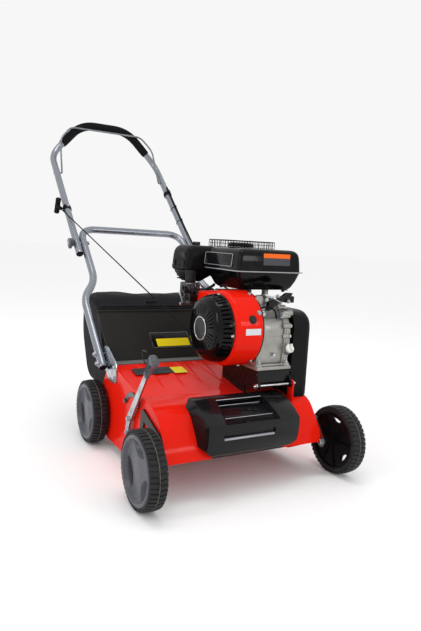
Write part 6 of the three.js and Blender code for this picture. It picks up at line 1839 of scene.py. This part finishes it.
def rope_guide():
    guide, run = rope_guide_spot(), rope_run()
    low = along_handle(-UPPER_HALF, GUIDE_REACH - 9)

    def eye(bm):
        turn(bm, [(-4, 2.4), (-3.6, 5), (-2, 6.8), (2, 6.8), (3.6, 5), (4, 2.4), (-4, 2.4)], guide, run, 36)
        turn(bm, [(0, 12.9), (0, 15), (1, 15.4), (17, 15.4), (18, 15), (18, 12.9), (0, 12.9)],
             low, HANDLE_RUN, 40)
        inner = along_handle(-UPPER_HALF - 14, GUIDE_REACH)
        sweep(bm, [guide + at(4.6, 0, 0), inner], 3, 16)

    piece("rope_eye", eye, BLACK, "upper_loop", ["rope_guide"])

    def screw(bm):
        hexagon(bm, along_handle(-UPPER_HALF, GUIDE_REACH) + HANDLE_UP * 15, HANDLE_UP, 4, 3.4, 5)

    piece("rope_eye_screw", screw, ZINC, "upper_loop")


def starter_grip():
    guide, run = rope_guide_spot(), rope_run()
    seat = guide + run * 4.3
    middle = seat + run * 19
    across = run.cross(at(1, 0, 0)).normalized()

    def handle(bm):
        profile = [(-30, 0), (-30, 5), (-29, 8), (-26, 9.8), (-12, 9.2), (0, 9.6), (12, 9.2), (26, 9.8),
                   (29, 8), (30, 5), (30, 0)]
        turn(bm, profile, middle, across, 32)
        turn(bm, [(0, 0), (0, 6), (6, 7), (14, 9), (19, 9), (19, 0)], seat, run, 28)

    piece("starter_t_grip", handle, BLACK, "grip", ["starter_grip"], edge=0.6, angle=50)


starter_cord()
rope_guide()
starter_grip()


def on_tube(reach):
    return along_handle(UPPER_HALF, reach) + HANDLE_UP * (TUBE_RADIUS + 3.5 + 0.9)


def clutch_cable():
    x = (176 + 243) / 2
    rear, top = BELT_COVER_REAR, BELT_COVER_TOP
    entry = top - 85
    low_reach, high_reach = CABLE_REACHES

    def sleeve(bm):
        corners = [on_tube(high_reach), on_tube(low_reach), at(x + 8, rear + 349, top + 55),
                   at(x, rear + 146, top + 8), at(x, rear + 70, entry + 12), at(x, rear + 25, entry),
                   at(x, rear + 0.3, entry)]
        path = rounded_path(corners, [90, 90, 60, 50, 20], 12)
        sweep(bm, resample(path, 6), 3.3, 16)

    thing = piece("cable_sleeve", sleeve, CORD, None, ["clutch_cable"])
    bend_over(thing)

    def ferrule(bm):
        turn(bm, [(0, 0), (0, 5.4), (14, 5.4), (18, 3.4), (18, 0)], at(x, rear + 0.6, entry), (0, 1, 0), 24)

    piece("cable_ferrule", ferrule, BLACK, "frame")

    def clip(bm):
        turn(bm, [(0, 12.8), (0, 15.6), (1, 16.2), (15, 16.2), (16, 15.6), (16, 12.8), (0, 12.8)],
             along_handle(UPPER_HALF, CLIP_REACH), HANDLE_RUN, 40)
        turn(bm, [(0, 3.7), (0, 5.8), (1, 6.3), (15, 6.3), (16, 5.8), (16, 3.7), (0, 3.7)],
             on_tube(CLIP_REACH), HANDLE_RUN, 28)

    piece("cable_clip_band", clip, BLACK, "upper_loop", ["cable_clip"])

    def ties(bm):
        for reach in (680, 760):
            path = [along_handle(UPPER_HALF, reach) + vector for vector in tie_loop()]
            sweep(bm, path, 1.1, 6, closed=True)

    piece("cable_ties", ties, BLACK, "upper_loop")


def tie_loop():
    """A band round the tube and the cable that lies on it."""
    spots = []
    for radius, lift, count, first, last in ((13.5, 0, 40, 120, 420), (4.9, 16.9, 11, -75, 75)):
        for k in range(count):
            angle = math.radians(first + (last - first) * k / (count - 1))
            spots.append(at(radius * math.sin(angle), 0, 0) + HANDLE_UP * (lift + radius * math.cos(angle)))
    return spots


clutch_cable()


# Depth lever

def lever_grip():
    """A ribbed neck that widens into a broad rounded head leaning to the front."""
    pivot, top = Vector(LEVER_PIVOT), Vector(LEVER_TOP)
    run = (top - pivot).normalized()
    side = Vector((-run.y, run.x))
    # place along the grip in mm from the top of the bar, half widths and lean
    stations = [(-21, 8.4, 5.6, 0, 0), (-18, 9.6, 6.8, 0, 0), (0, 10.0, 7.2, 0, 0), (14, 10.8, 8.0, 0, 0),
                (24, 12.6, 8.6, 1.4, 0), (32, 15.2, 9.2, 3.6, 0), (38, 17.4, 9.6, 5.4, 0),
                (43, 18.2, 9.7, 6.8, 0), (47, 16.8, 9.3, 7.8, 0), (50, 13.2, 8.3, 8.4, 0),
                (51.8, 8.4, 6.4, 8.8, 0), (52.3, 4, 4, 9, 0)]

    def grip(bm):
        smooth = []
        for a, b in zip(stations, stations[1:]):
            for k in range(4):
                smooth.append([p + (q - p) * k / 4 for p, q in zip(a, b)])
        smooth.append(stations[-1])
        rings = []
        for along, span, width, shift, aside in smooth:
            centre = top + run * along + side * shift
            ring = []
            for k in range(40):
                angle = 2 * math.pi * k / 40
                power = 0.55
                a = math.copysign(abs(math.cos(angle)) ** power, math.cos(angle)) * span
                b = math.copysign(abs(math.sin(angle)) ** power, math.sin(angle)) * width
                p = centre + side * a
                ring.append(at(LEVER_X + aside + b, p.x, p.y))
            rings.append(ring)
        loft(bm, rings)

    piece("lever_grip_moulding", grip, GREY, "depth_control", ["lever_grip"], angle=50)

    def ribs(bm):
        for k in range(8):
            along = -8 + 6 * k
            lean = max(0.0, (along - 18) / 3.4)
            centre = top + run * along + side * lean
            reach = 7.5 + 0.13 * (along + 12)
            x = LEVER_X - 7.2 - 0.05 * (along + 8)
            sweep(bm, [at(x, *(centre - side * reach)), at(x, *(centre + side * reach))], 0.7, 8)

    # The ribs are near-black rubber on the grey grip: painted shade of the grooves between them.
    piece("lever_grip_ribs", ribs, RUBBER, "depth_control")


LEVER_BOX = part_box("lever_grip")
LEVER_X = (LEVER_BOX[0][0] + LEVER_BOX[1][0]) / 2 / MM
lever_grip()


def rear_flap():
    foot = Vector(FLAP_HINGE)
    full = (Vector(FLAP_TIP) - foot).length
    run = (Vector(FLAP_TIP) - foot).normalized()
    side = Vector((run.y, -run.x))

    def point(along, out):
        return tuple(foot + run * along + side * out)

    def panel(bm):
        outline = [point(0, -2.2), point(full * 0.955, -2.2), point(full * 0.975, -3.4),
                   point(full * 0.985, -7.2), point(full + 2.6, -7.2), point(full + 2.8, -1),
                   point(full, 2.2), point(0, 2.2)]
        prism(bm, outline, -FLAP_HALF, FLAP_HALF)
        for x in (-FLAP_HALF, FLAP_HALF - 3):
            prism(bm, [point(13, 0), point(full, 0), point(full, 12), point(16, 8)], x, x + 3)
        for share in (-0.5, 0, 0.5):
            x = share * FLAP_HALF
            prism(bm, [point(8, 0), point(full * 0.9, 0), point(full * 0.86, 9), point(16, 9)],
                  x - 1.5, x + 1.5)

    piece("flap_panel", panel, FLAP, "flap", ["rear_flap"], edge=1.2, segments=3)

    def barrel(bm):
        for k in range(7):
            x0 = 1 - FLAP_HALF + 66 * k
            turn_x(bm, [(x0, 4.4), (x0, 7), (x0 + 0.8, 7.8), (x0 + 59, 7.8), (x0 + 59.8, 7),
                        (x0 + 59.8, 4.4), (x0, 4.4)], *FLAP_HINGE, 32)

    piece("flap_barrels", barrel, FLAP, "flap")

    def plate(x0, x1, low, high, out):
        def build(bm):
            rings = []
            for lift in (0.0, 0.5):
                rings.append([])
                for x, share in ((x0, low), (x1, low), (x1, high), (x0, high)):
                    a, b = point(full * share, -2.2 - out - lift)
                    rings[-1].append(at(x, a, b))
            loft(bm, rings)
        return build

    piece("flap_bare_plate", plate(-79, 50, 0.26, 0.53, 0), PLATE, "flap")
    piece("flap_bare_label", plate(-65, 48, 0.27, 0.42, 0.5), YELLOW, "flap")

    def frame_line(bm):
        spots = [(-81, 0.25), (52, 0.25), (52, 0.54), (-81, 0.54)]
        path = []
        for x, share in spots:
            a, b = point(full * share, -2.6)
            path.append(at(x, a, b))
        sweep(bm, path, 0.8, 6, closed=True)

    piece("flap_plate_frame", frame_line, TRIM, "flap")


rear_flap()


# Grass bag

def bag():
    corners = [(448, 196.8), (492, 154), (667, 162), (735, 299.5), (731, 439), (617, 445), (577.8, 400)]
    outline = softened(corners, [0, 24, 44, 40, 34, 24, 0], 6)
    line = []
    for a, b in zip(outline, outline[1:]):
        a, b = Vector(a), Vector(b)
        count = max(1, math.ceil((b - a).length / 7))
        line += [a.lerp(b, k / count) for k in range(count)]
    line.append(Vector(outline[-1]))
    half = BAG_HALF
    shoulder = 44
    centre = Vector((610, 300))

    def wave(p, amount):
        return amount * noise.noise(Vector((p.x, p.y, p.z)) * 0.011 + Vector((3.1, 7.7, 1.3)))

    def near_top(p):
        return max(0.0, min(1.0, (p.y - 380) / 60))

    def away_from_mouth(i):
        share = i / (len(line) - 1)
        return min(1.0, min(share, 1 - share) * 9)

    def cloth(bm):
        columns = [-half + 2 * half * k / 60 for k in range(61)]
        rows = []
        for x in columns:
            edge = abs(x)
            pull = 0.0
            if edge > half - shoulder:
                reach = (edge - (half - shoulder)) / shoulder
                pull = shoulder * (1 - math.sqrt(max(0.0, 1 - reach * reach)))
            row = []
            for i, p in enumerate(line):
                upper, held = near_top(p), away_from_mouth(i)
                spot = Vector((p.x, p.y))
                spot.y -= pull * upper * 0.85
                outward = (spot - centre).normalized()
                fold = math.sin(x * 0.055 + 1.7 * math.sin(i * 0.09)) * 1.5 + wave(at(x, p.x, p.y), 6.0)
                sag = -5.0 * math.cos(math.pi * x / (2 * half)) if upper > 0.5 else 0.0
                spot += outward * (-3.0 + fold * 0.75) * held
                spot.y += sag * held
                row.append(bm.verts.new(at(x, spot.x, spot.y)))
            rows.append(row)
        for low, high in zip(rows, rows[1:]):
            for i in range(len(line) - 1):
                bm.faces.new((low[i], high[i], high[i + 1], low[i + 1]))
        for row, sign in ((rows[0], -1), (rows[-1], 1)):
            previous = row
            mouth_low, mouth_high = row[0].co.copy(), row[-1].co.copy()
            for ring in range(1, 9):
                share = ring / 9
                current = []
                for i, vert in enumerate(row):
                    t = i / (len(row) - 1)
                    p = vert.co.lerp(mouth_low.lerp(mouth_high, t), share)
                    inside = math.sin(math.pi * min(1, share)) * math.sin(math.pi * t)
                    wrinkle = wave(p, 7.0) + 2.2 * math.sin(p.z * 0.06 + p.y * 0.03)
                    p.x = sign * (half - 2.0 - abs(inside) * (3.0 + 0.6 * abs(wrinkle)))
                    current.append(bm.verts.new(p))
                for i in range(len(row) - 1):
                    bm.faces.new((previous[i], previous[i + 1], current[i + 1], current[i]))
                previous = current

    thing = new_mesh("bag_fabric", cloth)
    level = thing.modifiers.new("levels", "SUBSURF")
    level.levels = 1
    level.render_levels = 1
    wall = thing.modifiers.new("wall", "SOLIDIFY")
    wall.thickness = 1.2 * MM
    wall.offset = 0
    bake(thing)
    thing.data.materials.append(MESH_CLOTH)
    shade(thing, 60)
    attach(thing, "grass_bag")
    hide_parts("bag_cloth")

    def seams(bm):
        for sign in (-1, 1):
            path = []
            for i, p in enumerate(line):
                spot = Vector((p.x, p.y))
                spot.y -= shoulder * 0.62 * near_top(p) * 0.85
                outward = (spot - centre).normalized()
                spot += outward * -1.5 * away_from_mouth(i)
                path.append(at(sign * (half - 2.5), spot.x, spot.y))
            sweep(bm, path, 2.2, 8)

    piece("bag_piping", seams, CLOTH, "grass_bag")


bag()


def bag_wires():
    low = Vector(BAG_MOUTH_LOW)
    high = Vector(BAG_MOUTH_HIGH)
    back = (high - low).normalized()
    out = Vector((-back.y, back.x))
    low = low + out * 5.8 + back * 4
    high = high + out * 5.8 - back * 4
    half = 218

    def corner(x, p):
        return at(x, p.x, p.y)

    def hoop(bm):
        corners = [corner(0, low), corner(half, low), corner(half, high), corner(-half, high),
                   corner(-half, low), corner(-1, low)]
        sweep(bm, resample(rounded_path(corners, 12, 8), 12), 3.9, 20)
        loop = [at(-64, high.x, high.y), at(-62, high.x + 12, high.y + 15),
                at(-15, high.x + 12, high.y + 15), at(-11, high.x, high.y)]
        sweep(bm, resample(rounded_path(loop, 8, 6), 8), 2.7, 16)
        sweep(bm, [corner(-8, low), corner(8, low)], 5, 20)

    def ears(bm):
        foot = low + back * 32 - back * 4
        for side in (-1, 1):
            far = DECK_HALF - 2.5 - 0.6
            x0, x1 = sorted((side * far, side * (far - 2.2)))
            hinge = Vector(FLAP_HINGE)
            run = (hinge - foot).normalized()
            across = Vector((-run.y, run.x))
            outline = [tuple(foot + across * 6.2), tuple(foot - run * 6), tuple(foot - across * 6.2),
                       tuple(hinge - across * 9.4 - run * 2), tuple(hinge - across * 8 + run * 5),
                       (hinge.x - 7, hinge.y - 4.4), (hinge.x + 3, hinge.y - 4.4), (hinge.x + 4.4, hinge.y),
                       (hinge.x + 3, hinge.y + 4.4), (hinge.x - 7, hinge.y + 4.4),
                       tuple(hinge + across * 8 + run * 5), tuple(hinge + across * 9.4 - run * 2)]
            prism(bm, outline, x0, x1)
            sweep(bm, [at(side * 214, *foot), at(side * (far - 0.4), *foot)], 3.1, 16)

    piece("bag_hoop", hoop, STEEL_BLACK, "grass_bag", ["bag_frame"])
    piece("bag_ears", ears, STEEL_BLACK, "grass_bag", edge=0.3)

    def hem(bm):
        sleeve = rounded_path([corner(half, low + back * 12), corner(half, high), corner(-half, high),
                               corner(-half, low + back * 12)], 12, 8)
        sweep(bm, resample(sleeve, 8), 6.2, 16)
        lower = high - back * 8.5
        sweep(bm, resample([corner(half - 3, lower), corner(3 - half, lower)], 8), 5.8, 16)

    piece("bag_hem", hem, CLOTH, "grass_bag")


bag_wires()


# Small parts on the deck and the solids that stay

def lever_details():
    """The thin bent wire at the lever's head."""
    def wire(bm):
        spots = [at(LEVER_X + 2, 128, 313), at(LEVER_X + 2, 138, 323), at(LEVER_X + 2, 150, 341),
                 at(LEVER_X + 2, 140, 346), at(LEVER_X + 2, 119, 345)]
        sweep(bm, resample(rounded_path(spots, 5), 2), 1.6, 10)

    piece("lever_wire_hook", wire, STEEL_BLACK, "depth_control")


def right_arm_plates():
    """Bright faces of the right front arm, which shows inside the wheel."""
    pivot, elbow, axle = Vector((140, 180)), Vector((36, 146)), Vector((0, 95))

    def strap(bm, low, high):
        for a, b, ra, rb in ((pivot, elbow, 13.2, 11.4), (elbow, axle, 11.4, 13.8)):
            run = (b - a).normalized()
            facing = math.degrees(math.atan2(run.y, run.x))
            outline = (arc(a.x, a.y, ra, 14, facing + 90, facing + 270)
                       + arc(b.x, b.y, rb, 14, facing - 90, facing + 90))
            prism(bm, outline, low, high)

    def plates(bm):
        strap(bm, 235.35, 235.85)
        strap(bm, 240.15, 240.65)

    piece("right_arm_faces", plates, ZINC, "swing_frame")

    def bolt(bm):
        hexagon(bm, at(235.8, 0, 95), (-1, 0, 0), 8.5, 7, 15)

    piece("right_axle_bolt", bolt, ZINC, "swing_frame")


lever_details()
right_arm_plates()

for node, finish, edge in (
        ("engine_stand", STEEL_BLACK, 0.8),
        ("tie_rod", BRIGHT, 0.6),
        # The front axle frame's black is painted shade, so its left arm reads as shadow; the right arm's
        # bright faces are separate plates.
        ("front_axle_frame", STEEL_BLACK, 0.7),
        ("depth_lever", ZINC, 0.8),
        ("lever_link", DARK_STEEL, 0.5),
        ("lever_quadrant", DARK_STEEL, 0.6),
        ("rear_axle", ZINC, 0.6),
        ("left_rotor_bearing", CAST, 0.6),
        ("right_rotor_bearing", CAST, 0.6),
        ("rotor", ZINC, 0.4),
        ("rotor_pulley", STEEL_BLACK, 0.4),
        ("engine_pulley", STEEL_BLACK, 0.4),
        ("drive_belt", RUBBER, 0.5),
        ("idler_arm", ZINC, 0.5),
        ("idler_pulley", BLACK, 0.5),
        ("belt_backplate", STEEL_BLACK, 0.5),
        ("crankshaft", BRIGHT, 0.4),
        ("cooling_fan", BLACK, 0.5),
        ("left_handle_bracket", ZINC, 0.7),
        ("right_handle_bracket", ZINC, 0.7),
        ("flap_hinge_rod", ZINC, 0.2)):
    dress(node, finish, edge)
